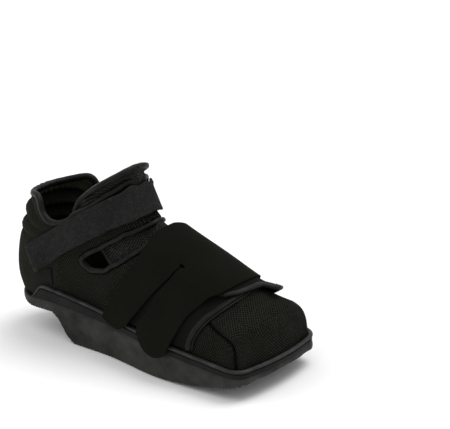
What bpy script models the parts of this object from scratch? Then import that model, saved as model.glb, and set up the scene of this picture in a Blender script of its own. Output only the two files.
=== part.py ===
"""Post operative shoe with a heel relief wedge, built as separate closed bodies.

While it is drawn the heel back is at x = 0 and the toe points along +X.
The lateral side is at -Y and the floor is the plane z = 0.
At the end the middle of its box is brought over the origin.
Every soft piece lies on one skin, the outer face of the upper.
A place on the skin is given by two shares: s runs from the heel back (0)
round to the toe front (1), v runs from the sole edge (0) up the lateral side
to the ridge (1) and down the medial side to the sole edge again (2).
"""
import bpy
import bmesh
import numpy as np

MM = 0.001

# outline of the sole
LENGTH = 0.285
HEEL_HALF = 0.0376
WAIST_HALF = 0.0400
BALL_HALF = 0.0530
TOE_HALF = 0.0557
WAIST_SHARE = 0.40
BALL_SHARE = 0.70
TOE_CORNER = 0.016
TOE_BOW = 0.004

# underside of the sole
HEEL_LIFT = 0.0247
STEP_TOP_X = 0.0605
STEP_FOOT_X = 0.0778
STEP_ROUND = 0.004
ROCKER_X = 0.1725
TOE_SPRING = 0.0144
HEEL_CURL = 0.010
HEEL_CURL_X = 0.030

# cup wall of the sole
LIP = 0.0006
CUP_WALL = 0.0038
BEAD_OUT = 0.0008
BEAD_TALL = 0.0042
GROOVE_DEEP = 0.0012
LEDGE = 0.0009
BASE_ROUND = 0.0016
FLOOR_INSET = 0.0022

# last
ANKLE_TOP = 0.170
ANKLE_DROP = 0.002
ANKLE_MID_X = 0.0835
ANKLE_LONG = 0.0505
ANKLE_WIDE = 0.0400
SHAFT_SHARE = 0.37

# walls and gaps
FIT = 0.0003
UPPER_WALL = 0.0035
TONGUE_THICK = 0.0060
FLAP_THICK = 0.0027
CLOSURE_THICK = 0.0020
STRAP_THICK = 0.0022
TAPE_THICK = 0.0010
BINDING_WIDE = 0.0048
BINDING_TALL = 0.0040
BINDING_SHIFT = 0.0006
BINDING_FIT = 0.0005
SIDES = 6
INSOLE_THICK = 0.0040
SLOT_ROUND = 0.0022

# base plane of the cup, x against z
BASE_TOP = dict(x=(0.0, 0.050, 0.150, 0.285), z=(0.0328, 0.0340, 0.0278, 0.0200))
# full height of the rim, x against z
RIM_TOP = dict(x=(0.0, 0.050, 0.1425, 0.285), z=(0.0515, 0.0485, 0.0389, 0.0280))
# the rim rises out of the heel base, x against share of the full height
RIM_RISE = dict(x=(0.0, 0.030, 0.034, 0.045, 0.050), share=(0.0, 0.0, 0.25, 0.97, 1.0))

# ridge line of the last from the ankle front to the toe front
RIDGE = dict(
    s=(0.37, 0.41, 0.44, 0.47, 0.51, 0.56, 0.62, 0.67, 0.76, 0.82, 0.89, 1.0),
    x=(0.134, 0.139, 0.145, 0.156, 0.172, 0.198, 0.226, 0.247, 0.260, 0.267, 0.272, 0.276),
    z=(0.168, 0.148, 0.131, 0.120, 0.1125, 0.1015, 0.089, 0.078, 0.070, 0.0655, 0.0625, 0.059),
)
# cross sections of the last, one column for each station
STATIONS = dict(
    s=(0.00, 0.05, 0.10, 0.15, 0.20, 0.27, 0.32, 0.37, 0.42, 0.47, 0.56, 0.67, 0.76, 0.82, 0.89, 0.95, 1.0),
    base=(0.00, 0.05, 0.10, 0.15, 0.20, 0.27, 0.31, 0.35, 0.405, 0.46, 0.56, 0.665, 0.755, 0.82, 0.885, 0.945, 1.0),
    wall=(0.30, 0.30, 0.30, 0.31, 0.32, 0.34, 0.35, 0.36, 0.40, 0.46, 0.55, 0.62, 0.72, 0.80, 0.80, 0.77, 0.74),
    drop=(0.050, 0.050, 0.050, 0.050, 0.049, 0.046, 0.038, 0.026, 0.012, 0.004, 0.0, 0.0, 0.0, 0.0, 0.0, 0.0, 0.0),
    pull=(0.0, 0.0, 0.0, 0.0, 0.002, 0.008, 0.014, 0.019, 0.022, 0.023, 0.023, 0.0285, 0.037, 0.040, 0.039, 0.022, 0.0070),
    low_bulge=(0.018, 0.017, 0.011, 0.0035, 0.0, 0.0, 0.0, 0.0, 0.0, 0.0, 0.0, 0.0, 0.0, 0.0, 0.0, 0.0, 0.0),
    high_bulge=(0.011, 0.010, 0.007, 0.004, 0.001, 0.0, 0.0, 0.0, 0.0, 0.0, 0.0, 0.0, 0.0, 0.0, 0.0, 0.0, 0.0),
)
# the skin stands on the heel base at the back and inside the cup elsewhere
SKIN_INSET = dict(share=(0.0, 0.07, 0.135, 1.0), inset=(0.0010, 0.0012, 0.0043, 0.0043))
SKIN_LIFT = dict(share=(0.0, 0.10, 0.14, 1.0), lift=(0.0009, 0.0009, 0.0003, 0.0003))

# edge lines on the skin, shares s and v
COLLAR = dict(
    s=(-0.02, 0.00, 0.05, 0.090, 0.108, 0.124, 0.142, 0.171, 0.198, 0.236, 0.293, 0.345, 0.375,
       0.398, 0.405, 0.408),
    v=(0.690, 0.690, 0.690, 0.688, 0.682, 0.665, 0.620, 0.575, 0.575, 0.645, 0.755, 0.800, 0.845,
       0.925, 1.000, 1.06),
)
ARM_EDGE = dict(
    s=(0.464, 0.463, 0.461, 0.448, 0.423, 0.393, 0.356, 0.323, 0.298),
    v=(1.06, 1.00, 0.905, 0.770, 0.630, 0.512, 0.445, 0.422, 0.396),
)
SLIT_EDGE = dict(
    s=(0.286, 0.292, 0.313, 0.352, 0.393, 0.417, 0.443, 0.477, 0.490, 0.498),
    v=(0.360, 0.325, 0.290, 0.258, 0.285, 0.352, 0.441, 0.603, 0.720, 0.840),
)
THROAT_EDGE = dict(
    s=(0.515, 0.560, 0.620, 0.665, 0.686, 0.690),
    v=(0.870, 0.870, 0.870, 0.890, 0.960, 1.06),
)
TONGUE_EDGE = dict(
    s=(0.373, 0.372, 0.352, 0.318, 0.279, 0.251, 0.236, 0.234, 0.244, 0.290, 0.348, 0.385,
       0.430, 0.500, 0.600, 0.655, 0.672, 0.674),
    v=(1.06, 1.0, 0.965, 0.942, 0.891, 0.816, 0.722, 0.641, 0.576, 0.480, 0.394, 0.342,
       0.330, 0.430, 0.620, 0.800, 0.950, 1.06),
)
STRAP_LOW = dict(
    s=(0.157, 0.201, 0.228, 0.268, 0.310, 0.343, 0.384, 0.414, 0.434, 0.450, 0.454),
    v=(0.207, 0.288, 0.364, 0.444, 0.497, 0.517, 0.557, 0.650, 0.761, 0.900, 1.000),
)
STRAP_HIGH = dict(
    s=(0.112, 0.155, 0.198, 0.238, 0.268, 0.295, 0.319, 0.348, 0.389, 0.403),
    v=(0.389, 0.492, 0.587, 0.675, 0.733, 0.773, 0.795, 0.812, 0.885, 1.000),
)
STRAP_ANCHOR_S = 0.175
LATERAL_FLAP = dict(
    s=(0.712, 0.709, 0.706, 0.707, 0.711, 0.716, 0.710, 0.695, 0.672, 0.620, 0.560, 0.530,
       0.516, 0.512, 0.506, 0.492, 0.474, 0.458, 0.455, 0.520, 0.600, 0.680),
    v=(0.112, 0.140, 0.195, 0.290, 0.450, 0.613, 0.830, 1.000, 1.200, 1.240, 1.240, 1.200,
       1.000, 0.850, 0.620, 0.430, 0.250, 0.140, 0.102, 0.092, 0.096, 0.106),
)
MEDIAL_FLAP = dict(
    s=(0.679, 0.692, 0.703, 0.709, 0.716, 0.724, 0.745, 0.738, 0.716, 0.708, 0.708, 0.712,
       0.600, 0.480, 0.474, 0.495, 0.510, 0.516, 0.520, 0.535, 0.600, 0.650),
    v=(0.728, 0.800, 0.876, 1.000, 1.130, 1.220, 1.310, 1.420, 1.600, 1.750, 1.850, 1.886,
       1.904, 1.905, 1.750, 1.560, 1.350, 1.100, 0.850, 0.725, 0.700, 0.700),
)
CLOSURE = dict(
    s=(0.507, 0.504, 0.501, 0.495, 0.492, 0.483, 0.471, 0.459, 0.446, 0.434, 0.424, 0.430,
       0.449, 0.475, 0.493, 0.516, 0.530, 0.545, 0.557, 0.569, 0.585, 0.603, 0.621, 0.638, 0.650,
       0.656, 0.659, 0.658, 0.657, 0.661, 0.670, 0.669, 0.669, 0.672, 0.676, 0.668, 0.660,
       0.570, 0.480, 0.490, 0.500),
    v=(1.140, 1.000, 0.909, 0.821, 0.647, 0.536, 0.441, 0.329, 0.228, 0.139, 0.068, 0.050,
       0.036, 0.029, 0.056, 0.100, 0.100, 0.060, 0.012, -0.025, -0.046, -0.050, -0.034, 0.000, 0.045,
       0.110, 0.195, 0.296, 0.400, 0.626, 0.749, 0.902, 1.040, 1.240, 1.360, 1.600, 1.850,
       1.860, 1.850, 1.600, 1.350),
)
TAB_SLOT = dict(
    s=(0.576, 0.573, 0.566, 0.560, 0.552, 0.543, 0.532, 0.524, 0.518),
    v=(0.700, 0.630, 0.500, 0.400, 0.300, 0.215, 0.140, 0.080, 0.030),
    half=(0.0006, 0.0008, 0.0024, 0.0040, 0.0070, 0.0100, 0.0130, 0.0170, 0.0190),
)
TAPE = dict(s=(0.186, 0.204, 0.216, 0.198), v=(0.240, 0.250, 0.125, 0.125))

# rise of each layer over the skin, v against height
TONGUE_RISE = dict(v=(0.3, 0.45, 0.7, 1.0), h=(-0.0045, -0.0062, -0.0072, -0.0076))
MEDIAL_RISE = dict(v=(0.60, 1.38, 1.58, 1.80, 2.0), h=(0.0036, 0.0036, 0.0008, 0.0003, 0.0003))
CLOSURE_RISE = dict(
    v=(-0.10, 0.12, 0.24, 0.54, 0.64, 1.38, 1.60, 1.80, 2.0),
    h=(0.0066, 0.0064, 0.0040, 0.0034, 0.0068, 0.0068, 0.0044, 0.0034, 0.0034),
)
HOOK_LIFT = 0.0035
HOOK_S = 0.690
HOOK_REACH_S = 0.045
HOOK_V = 1.32
HOOK_REACH_V = 0.20
STRAP_RISE = dict(v=(0.0, 0.40, 0.55, 0.75, 1.0), h=(0.0006, 0.0010, 0.0024, 0.0031, 0.0031))

# spacing of the flat sheets before they are laid on the skin
SHEET_LONG = 0.40
SHEET_TALL = 0.20
SHEET_DEEP = 0.01
# every sheet uses the same cells, so that layers stay parallel
CELLS_LONG = 36
V_LINES = (0.0, 0.12, 0.24, 0.36, 0.48, 0.60, 0.71, 0.81, 0.90, 0.96, 1.0)

SHOE = bpy.data.collections.new("post_operative_shoe")
CUTTERS = bpy.data.collections.new("cutters")


def empty_scene():
    """Start from nothing and add the two collections."""
    for item in list(bpy.data.objects):
        bpy.data.objects.remove(item, do_unlink=True)
    bpy.context.scene.collection.children.link(SHOE)
    bpy.context.scene.collection.children.link(CUTTERS)


def smooth(knots, values, at):
    """Monotone cubic through a short table."""
    knots = np.asarray(knots, float)
    values = np.asarray(values, float)
    at = np.clip(np.asarray(at, float), knots[0], knots[-1])
    gap = np.diff(knots)
    slope = np.diff(values) / gap
    tangent = np.concatenate([[slope[0]], np.zeros(len(slope) - 1), [slope[-1]]])
    near = 2 * gap[1:] + gap[:-1]
    far = 2 * gap[:-1] + gap[1:]
    same = slope[1:] * slope[:-1] > 0
    mean = np.zeros(len(slope) - 1)
    mean[same] = (near + far)[same] / (
        near[same] / slope[:-1][same] + far[same] / slope[1:][same])
    tangent[1:-1] = mean
    i = np.clip(np.searchsorted(knots, at, side="right") - 1, 0, len(gap) - 1)
    t = (at - knots[i]) / gap[i]
    return (values[i] * (1 + 2 * t) * (1 - t) ** 2 + tangent[i] * gap[i] * t * (1 - t) ** 2
            + values[i + 1] * t * t * (3 - 2 * t) + tangent[i + 1] * gap[i] * t * t * (t - 1))


def half_width(x):
    """Half width of the sole ahead of the heel arc."""
    knots = (HEEL_HALF, WAIST_SHARE * LENGTH, BALL_SHARE * LENGTH, LENGTH - TOE_CORNER)
    return smooth(knots, (HEEL_HALF, WAIST_HALF, BALL_HALF, TOE_HALF), x)


def half_outline(heel_steps, side_x, corner_steps, front_steps):
    """Lateral half of the outline from the heel back to the toe front."""
    turn = np.linspace(0, np.pi / 2, heel_steps + 1)
    heel = np.stack([HEEL_HALF * (1 - np.cos(turn)), -HEEL_HALF * np.sin(turn)], 1)
    side_x = np.asarray(side_x, float)
    side = np.stack([side_x, -half_width(side_x)], 1)
    turn = np.linspace(0, np.pi / 2, corner_steps + 1)
    flat = TOE_HALF - TOE_CORNER
    corner = np.stack([LENGTH - TOE_CORNER + TOE_CORNER * np.sin(turn),
                       -flat - TOE_CORNER * np.cos(turn)], 1)
    y = np.linspace(-flat, 0, front_steps + 1)[1:]
    front = np.stack([LENGTH + TOE_BOW * (1 - (y / flat) ** 2), y], 1)
    return np.concatenate([heel, side, corner, front])


FINE_EDGE = half_outline(60, np.linspace(HEEL_HALF, LENGTH - TOE_CORNER, 162)[1:-1], 30, 30)
FINE_ARC = np.concatenate(
    [[0], np.cumsum(np.linalg.norm(np.diff(FINE_EDGE, axis=0), axis=1))])


def edge_at(share):
    """Outline point and outward direction at a share of the half outline."""
    reach = 0.0015
    arc = np.asarray(share, float) * FINE_ARC[-1]
    ahead = np.minimum(arc + reach, FINE_ARC[-1])
    behind = np.maximum(arc - reach, 0)
    x = np.interp(arc, FINE_ARC, FINE_EDGE[:, 0])
    y = np.interp(arc, FINE_ARC, FINE_EDGE[:, 1])
    run_x = np.interp(ahead, FINE_ARC, FINE_EDGE[:, 0]) - np.interp(behind, FINE_ARC, FINE_EDGE[:, 0])
    run_y = np.interp(ahead, FINE_ARC, FINE_EDGE[:, 1]) - np.interp(behind, FINE_ARC, FINE_EDGE[:, 1])
    run_x = np.where((arc < reach) | (arc > FINE_ARC[-1] - reach), 0.0, run_x)
    run_y = np.where(arc < reach, -1.0, np.where(arc > FINE_ARC[-1] - reach, 1.0, run_y))
    size = np.hypot(run_x, run_y)
    return x, y, run_y / size, -run_x / size


def base_top(x):
    """Height of the base plane inside the cup."""
    return smooth(BASE_TOP["x"], BASE_TOP["z"], x)


def rim_top(x):
    """Height of the rim, low at the heel back."""
    low = base_top(x) + LIP
    full = smooth(RIM_TOP["x"], RIM_TOP["z"], x)
    return low + (full - low) * smooth(RIM_RISE["x"], RIM_RISE["share"], x)


def sole_under(x):
    """Height of the underside: heel base, step, flat wedge and rocker."""
    knots = (0.0, STEP_TOP_X - STEP_ROUND, STEP_TOP_X + STEP_ROUND, STEP_FOOT_X - STEP_ROUND,
             STEP_FOOT_X + STEP_ROUND, LENGTH)
    slope = HEEL_LIFT / (STEP_FOOT_X - STEP_TOP_X)
    high = HEEL_LIFT - slope * STEP_ROUND
    low = slope * STEP_ROUND
    step = np.interp(x, knots, (HEEL_LIFT, HEEL_LIFT, high, low, 0.0, 0.0))
    curl = HEEL_CURL * np.clip((HEEL_CURL_X - x) / HEEL_CURL_X, 0, 1) ** 2
    rocker = TOE_SPRING * np.clip((x - ROCKER_X) / (LENGTH - ROCKER_X), 0, 1.04) ** 2
    return step + curl + rocker


def skin(s, t):
    """Point of the lateral skin at share s and height share t."""
    s, t = np.broadcast_arrays(np.asarray(s, float), np.asarray(t, float))
    knots = STATIONS["s"]
    base, wall, drop, pull, low_bulge, high_bulge = [
        smooth(knots, STATIONS[name], s)
        for name in ("base", "wall", "drop", "pull", "low_bulge", "high_bulge")]
    x, y, out_x, out_y = edge_at(base)
    inset = smooth(SKIN_INSET["share"], SKIN_INSET["inset"], base)
    x = x - out_x * inset
    y = y - out_y * inset
    foot_z = base_top(x) + smooth(SKIN_LIFT["share"], SKIN_LIFT["lift"], base)
    foot = np.stack([x, y, foot_z], -1)
    zero = np.zeros_like(x)

    turn = np.clip(s / SHAFT_SHARE, 0, 1)
    ring = np.stack([ANKLE_MID_X - ANKLE_LONG * np.cos(turn * np.pi),
                     -ANKLE_WIDE * np.sin(turn * np.pi),
                     ANKLE_TOP - ANKLE_DROP * turn ** 4], -1)
    round_back = np.stack([-ANKLE_LONG * np.sin(turn * np.pi),
                           ANKLE_WIDE * np.cos(turn * np.pi), zero], -1)
    along = np.clip(s, SHAFT_SHARE, 1)
    ridge = np.stack([smooth(RIDGE["s"], RIDGE["x"], along), zero,
                      smooth(RIDGE["s"], RIDGE["z"], along)], -1)
    top = np.where((s < SHAFT_SHARE)[..., None], ring, ridge)

    step = 1e-3
    behind = np.clip(s - step, SHAFT_SHARE, 1)
    ahead = np.clip(s + step, SHAFT_SHARE, 1)
    rise = np.stack([smooth(RIDGE["s"], RIDGE["x"], behind) - smooth(RIDGE["s"], RIDGE["x"], ahead),
                     zero,
                     smooth(RIDGE["s"], RIDGE["z"], behind) - smooth(RIDGE["s"], RIDGE["z"], ahead)], -1)
    size = np.maximum(np.linalg.norm(rise, axis=-1, keepdims=True), 1e-9)
    rise = np.where((s <= SHAFT_SHARE)[..., None], np.array([0.0, 0.0, 1.0]), rise / size)

    tall = top[..., 2] - foot_z
    side = np.stack([zero, -np.abs(y), zero], -1)
    side = np.where((s < SHAFT_SHARE)[..., None], round_back, side)
    outward = np.stack([x - top[..., 0], y - top[..., 1], zero], -1)
    front = smooth((0, 0.80, 0.95, 1.0), (0, 0, 1, 1), s)[..., None]
    over = side * (1 - front) + outward * front
    over /= np.maximum(np.linalg.norm(over, axis=-1, keepdims=True), 1e-9)
    shaft = np.clip(drop / 0.050, 0, 1)
    low = foot + np.stack([out_x * low_bulge, out_y * low_bulge, wall * tall], -1)
    high = (top - drop[..., None] * rise + pull[..., None] * over
            + np.stack([out_x * high_bulge * shaft, out_y * high_bulge * shaft, zero], -1))
    t = t[..., None]
    return (1 - t) ** 3 * foot + 3 * (1 - t) ** 2 * t * low + 3 * (1 - t) * t ** 2 * high + t ** 3 * top


def on_skin(s, v, h):
    """Point at height h over the skin, lateral up to v = 1 and medial past it."""
    s, v, h = np.broadcast_arrays(np.asarray(s, float), np.asarray(v, float), np.asarray(h, float))
    medial = v > 1
    t = np.where(medial, 2 - v, v)
    below = np.minimum(t, 0)
    t = np.maximum(t, 0)
    step = 2e-3
    point = skin(s, t)
    along = skin(np.clip(s + step, 0, 1), t) - skin(np.clip(s - step, 0, 1), t)
    upward = skin(s, np.clip(t + step, 0, 1)) - skin(s, np.clip(t - step, 0, 1))
    normal = np.cross(along, upward)
    normal /= np.maximum(np.linalg.norm(normal, axis=-1, keepdims=True), 1e-12)
    share = np.clip((t - 0.93) / 0.07, 0, 1) * (s > SHAFT_SHARE)
    share = np.where(np.abs(point[..., 1]) < 1e-6, 1.0, share)
    normal[..., 1] *= 1 - share
    normal /= np.maximum(np.linalg.norm(normal, axis=-1, keepdims=True), 1e-12)
    point = point + normal * h[..., None]
    point[..., 2] += below * 0.1
    point[..., 1] = np.where(medial, -point[..., 1], point[..., 1])
    return point


def spline(columns, steps=4, closed=False):
    """Smooth line through the rows of a table."""
    rows = np.stack([np.asarray(column, float) for column in columns], 1)
    if closed:
        rows = np.concatenate([rows[-1:], rows, rows[:2]])
    else:
        rows = np.concatenate([2 * rows[:1] - rows[1:2], rows, 2 * rows[-1:] - rows[-2:-1]])
    line = []
    for a, b, c, d in zip(rows[:-3], rows[1:-2], rows[2:-1], rows[3:]):
        for t in np.arange(steps) / steps:
            line.append(0.5 * (2 * b + (c - a) * t + (2 * a - 5 * b + 4 * c - d) * t ** 2
                               + (3 * b - a - 3 * c + d) * t ** 3))
    if not closed:
        line.append(rows[-2])
    return np.array(line)


def finish(name, bm, colour, roughness, metallic=0.0):
    """Turn a closed bmesh into a named object with its own material."""
    bmesh.ops.recalc_face_normals(bm, faces=bm.faces)
    if bm.calc_volume(signed=True) < 0:
        bmesh.ops.reverse_faces(bm, faces=bm.faces)
    mesh = bpy.data.meshes.new(name)
    bm.to_mesh(mesh)
    bm.free()
    item = bpy.data.objects.new(name, mesh)
    SHOE.objects.link(item)
    material = bpy.data.materials.new(name)
    material.use_nodes = True
    shader = material.node_tree.nodes["Principled BSDF"]
    shader.inputs["Base Color"].default_value = (*colour, 1.0)
    shader.inputs["Roughness"].default_value = roughness
    shader.inputs["Metallic"].default_value = metallic
    mesh.materials.append(material)
    return item


def v_line(k):
    """Share v of a line of the grid, counted up the lateral and down the medial side."""
    if k < 0:
        return k * V_LINES[1]
    if k > 10:
        return 2 - V_LINES[20 - k]
    return V_LINES[k]


def flat_sheet(name, s_cells, v_cells):
    """Gridded slab for a stretch of the skin laid out flat, from cell to cell."""
    bm = bmesh.new()
    wide = s_cells[1] - s_cells[0]
    tall = v_cells[1] - v_cells[0]
    grid = bmesh.ops.create_grid(bm, x_segments=wide, y_segments=tall, size=0.5)
    for vertex in grid["verts"]:
        s = (s_cells[0] + (vertex.co.x + 0.5) * wide) / CELLS_LONG
        v = v_line(v_cells[0] + round((vertex.co.y + 0.5) * tall))
        vertex.co = (s * SHEET_LONG, v * SHEET_TALL, -SHEET_DEEP / 2)
    grown = bmesh.ops.extrude_face_region(bm, geom=bm.faces[:])
    moved = [item for item in grown["geom"] if isinstance(item, bmesh.types.BMVert)]
    bmesh.ops.translate(bm, verts=moved, vec=(0, 0, SHEET_DEEP))
    bmesh.ops.recalc_face_normals(bm, faces=bm.faces)
    mesh = bpy.data.meshes.new(name)
    bm.to_mesh(mesh)
    bm.free()
    item = bpy.data.objects.new(name, mesh)
    CUTTERS.objects.link(item)
    return item


def flat_cutter(name, line):
    """Prism over a closed line of shares s and v."""
    bm = bmesh.new()
    ring = [bm.verts.new((s * SHEET_LONG, v * SHEET_TALL, -SHEET_DEEP)) for s, v in line]
    bm.faces.new(ring)
    grown = bmesh.ops.extrude_face_region(bm, geom=bm.faces[:])
    moved = [item for item in grown["geom"] if isinstance(item, bmesh.types.BMVert)]
    bmesh.ops.translate(bm, verts=moved, vec=(0, 0, 2 * SHEET_DEEP))
    bmesh.ops.recalc_face_normals(bm, faces=bm.faces)
    mesh = bpy.data.meshes.new(name)
    bm.to_mesh(mesh)
    bm.free()
    item = bpy.data.objects.new(name, mesh)
    CUTTERS.objects.link(item)
    item.display_type = "WIRE"
    item.hide_render = True
    return item


def cut(item, cutter, operation):
    """Boolean modifier of the exact kind."""
    modifier = item.modifiers.new(cutter.name, "BOOLEAN")
    modifier.operation = operation
    modifier.solver = "EXACT"
    modifier.object = cutter


def cut_sheet(item):
    """Mesh of the sheet once its cutters have worked."""
    graph = bpy.context.evaluated_depsgraph_get()
    mesh = bpy.data.meshes.new_from_object(item.evaluated_get(graph))
    bm = bmesh.new()
    bm.from_mesh(mesh)
    bpy.data.meshes.remove(mesh)
    bpy.data.objects.remove(item, do_unlink=True)
    bmesh.ops.remove_doubles(bm, verts=bm.verts, dist=0.00002)
    bmesh.ops.triangulate(bm, faces=bm.faces, quad_method="SHORT_EDGE")
    return bm


def lay(bm, inner, outer):
    """Lay a flat sheet on the skin between two heights, each a function of s and v."""
    flat = np.array([vertex.co[:] for vertex in bm.verts])
    s = np.clip(flat[:, 0] / SHEET_LONG, 0, 1)
    v = flat[:, 1] / SHEET_TALL
    share = flat[:, 2] / SHEET_DEEP + 0.5
    h = inner(s, v) * (1 - share) + outer(s, v) * share
    for vertex, place in zip(bm.verts, on_skin(s, v, h)):
        vertex.co = place
    return bm


def whole_from_half(bm):
    """Mirror the lateral half over the middle plane and weld it."""
    seam = [face for face in bm.faces if all(abs(vertex.co.y) < 1e-7 for vertex in face.verts)]
    bmesh.ops.delete(bm, geom=seam, context="FACES")
    twin = bmesh.ops.duplicate(bm, geom=bm.verts[:] + bm.edges[:] + bm.faces[:])
    moved = [item for item in twin["geom"] if isinstance(item, bmesh.types.BMVert)]
    turned = [item for item in twin["geom"] if isinstance(item, bmesh.types.BMFace)]
    bmesh.ops.scale(bm, verts=moved, vec=(1, -1, 1))
    bmesh.ops.reverse_faces(bm, faces=turned)
    bmesh.ops.remove_doubles(bm, verts=bm.verts, dist=0.00001)
    return bm


def level(value):
    """Height function with one value everywhere."""
    return lambda s, v: np.full_like(s, value)


def opening_line():
    """Edge of the ankle arm, the slit behind it and the throat, as one line."""
    slit = spline((ARM_EDGE["s"] + SLIT_EDGE["s"], ARM_EDGE["v"] + SLIT_EDGE["v"]), 2)
    return np.concatenate([slit, spline((THROAT_EDGE["s"], THROAT_EDGE["v"]), 2)])


def build_upper():
    """Hollow padded shell, open at the collar, the slits, the throat and below."""
    sheet = flat_sheet("upper_sheet", (0, 36), (0, 10))
    collar = spline((COLLAR["s"], COLLAR["v"]), 2)
    above = np.concatenate([collar, [[COLLAR["s"][-1], 1.2], [COLLAR["s"][0], 1.2]]])
    cut(sheet, flat_cutter("collar_cut", above), "DIFFERENCE")
    cut(sheet, flat_cutter("throat_cut", opening_line()), "DIFFERENCE")
    bm = lay(cut_sheet(sheet), level(-UPPER_WALL), level(0.0))
    finish("upper", whole_from_half(bm), (0.028, 0.026, 0.022), 0.9)


def build_tongue():
    """Thick padded tongue inside the throat, standing up over the ankle."""
    sheet = flat_sheet("tongue_sheet", (8, 25), (2, 10))
    line = spline((TONGUE_EDGE["s"], TONGUE_EDGE["v"]), 2)
    cut(sheet, flat_cutter("tongue_cut", line), "INTERSECT")
    bm = lay(cut_sheet(sheet), rise(TONGUE_RISE, -TONGUE_THICK), rise(TONGUE_RISE))
    finish("tongue", whole_from_half(bm), (0.036, 0.034, 0.030), 0.92)


def rise(table, extra=0.0):
    """Height function that follows v."""
    return lambda s, v: smooth(table["v"], table["h"], v) + extra


def hook(s, v):
    """Lift of the medial flap at its front corner, which stands off the toe box."""
    near = np.clip(1 - np.abs(v - HOOK_V) / HOOK_REACH_V, 0, 1)
    return HOOK_LIFT * near * np.clip((s - HOOK_S) / HOOK_REACH_S, 0, 1)


def build_flaps():
    """Lateral flap and the medial flap that is laid over it."""
    sheet = flat_sheet("lateral_sheet", (16, 26), (0, 14))
    cut(sheet, flat_cutter("lateral_cut", spline((LATERAL_FLAP["s"], LATERAL_FLAP["v"]), 2, True)), "INTERSECT")
    bm = lay(cut_sheet(sheet), level(FIT), level(FIT + FLAP_THICK))
    finish("lateral_flap", bm, (0.022, 0.020, 0.018), 0.88)
    sheet = flat_sheet("medial_sheet", (16, 27), (5, 20))
    cut(sheet, flat_cutter("medial_cut", spline((MEDIAL_FLAP["s"], MEDIAL_FLAP["v"]), 2, True)), "INTERSECT")
    low = rise(MEDIAL_RISE)
    bm = lay(cut_sheet(sheet), lambda s, v: low(s, v) + hook(s, v),
             lambda s, v: low(s, v) + FLAP_THICK + hook(s, v))
    finish("medial_flap", bm, (0.022, 0.020, 0.018), 0.88)


def build_closure():
    """Broad forefoot closure with two hook tabs and the slot between them."""
    sheet = flat_sheet("closure_sheet", (15, 25), (-1, 19))
    cut(sheet, flat_cutter("closure_cut", spline((CLOSURE["s"], CLOSURE["v"]), 2, True)), "INTERSECT")
    middle = spline((TAB_SLOT["s"], TAB_SLOT["v"], TAB_SLOT["half"]), 2)
    slot = np.concatenate([middle[:, :2] + middle[:, 2:] * [1, 0],
                           middle[::-1, :2] - middle[::-1, 2:] * [1, 0]])
    cut(sheet, flat_cutter("slot_cut", slot), "DIFFERENCE")
    turn = np.linspace(0, 2 * np.pi, 13)[:-1]
    ring = np.stack([TAB_SLOT["s"][0] + SLOT_ROUND / SHEET_LONG * np.cos(turn),
                     TAB_SLOT["v"][0] + SLOT_ROUND / SHEET_TALL * np.sin(turn)], 1)
    cut(sheet, flat_cutter("slot_end_cut", ring), "DIFFERENCE")
    bm = lay(cut_sheet(sheet), rise(CLOSURE_RISE), rise(CLOSURE_RISE, CLOSURE_THICK))
    finish("closure", bm, (0.018, 0.017, 0.015), 0.8)


def build_strap():
    """Wide strap over the front of the ankle to the lateral heel."""
    low = spline((STRAP_LOW["s"], STRAP_LOW["v"]), 2)
    high = spline((STRAP_HIGH["s"], STRAP_HIGH["v"]), 2)
    far_low = [(s, 2 - v) for s, v in low[-2::-1] if s > STRAP_ANCHOR_S + 0.03]
    far_high = [(s, 2 - v) for s, v in high[-2::-1] if s > STRAP_ANCHOR_S]
    line = np.array([*low, *far_low, *far_high[::-1], *high[::-1]])
    sheet = flat_sheet("strap_sheet", (3, 17), (1, 19))
    cut(sheet, flat_cutter("strap_cut", line), "INTERSECT")
    both = dict(v=STRAP_RISE["v"] + tuple(2 - v for v in STRAP_RISE["v"][-2::-1]),
                h=STRAP_RISE["h"] + STRAP_RISE["h"][-2::-1])
    bm = lay(cut_sheet(sheet), rise(both, FIT), rise(both, FIT + STRAP_THICK))
    finish("ankle_strap", bm, (0.045, 0.045, 0.045), 0.95)


def build_tape():
    """Narrow tape down the seam of the heel counter."""
    sheet = flat_sheet("tape_sheet", (6, 8), (1, 3))
    line = np.stack([TAPE["s"], TAPE["v"]], 1)
    cut(sheet, flat_cutter("tape_cut", line), "INTERSECT")
    bm = lay(cut_sheet(sheet), level(FIT), level(FIT + TAPE_THICK))
    finish("heel_tape", bm, (0.030, 0.028, 0.026), 0.85)


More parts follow.
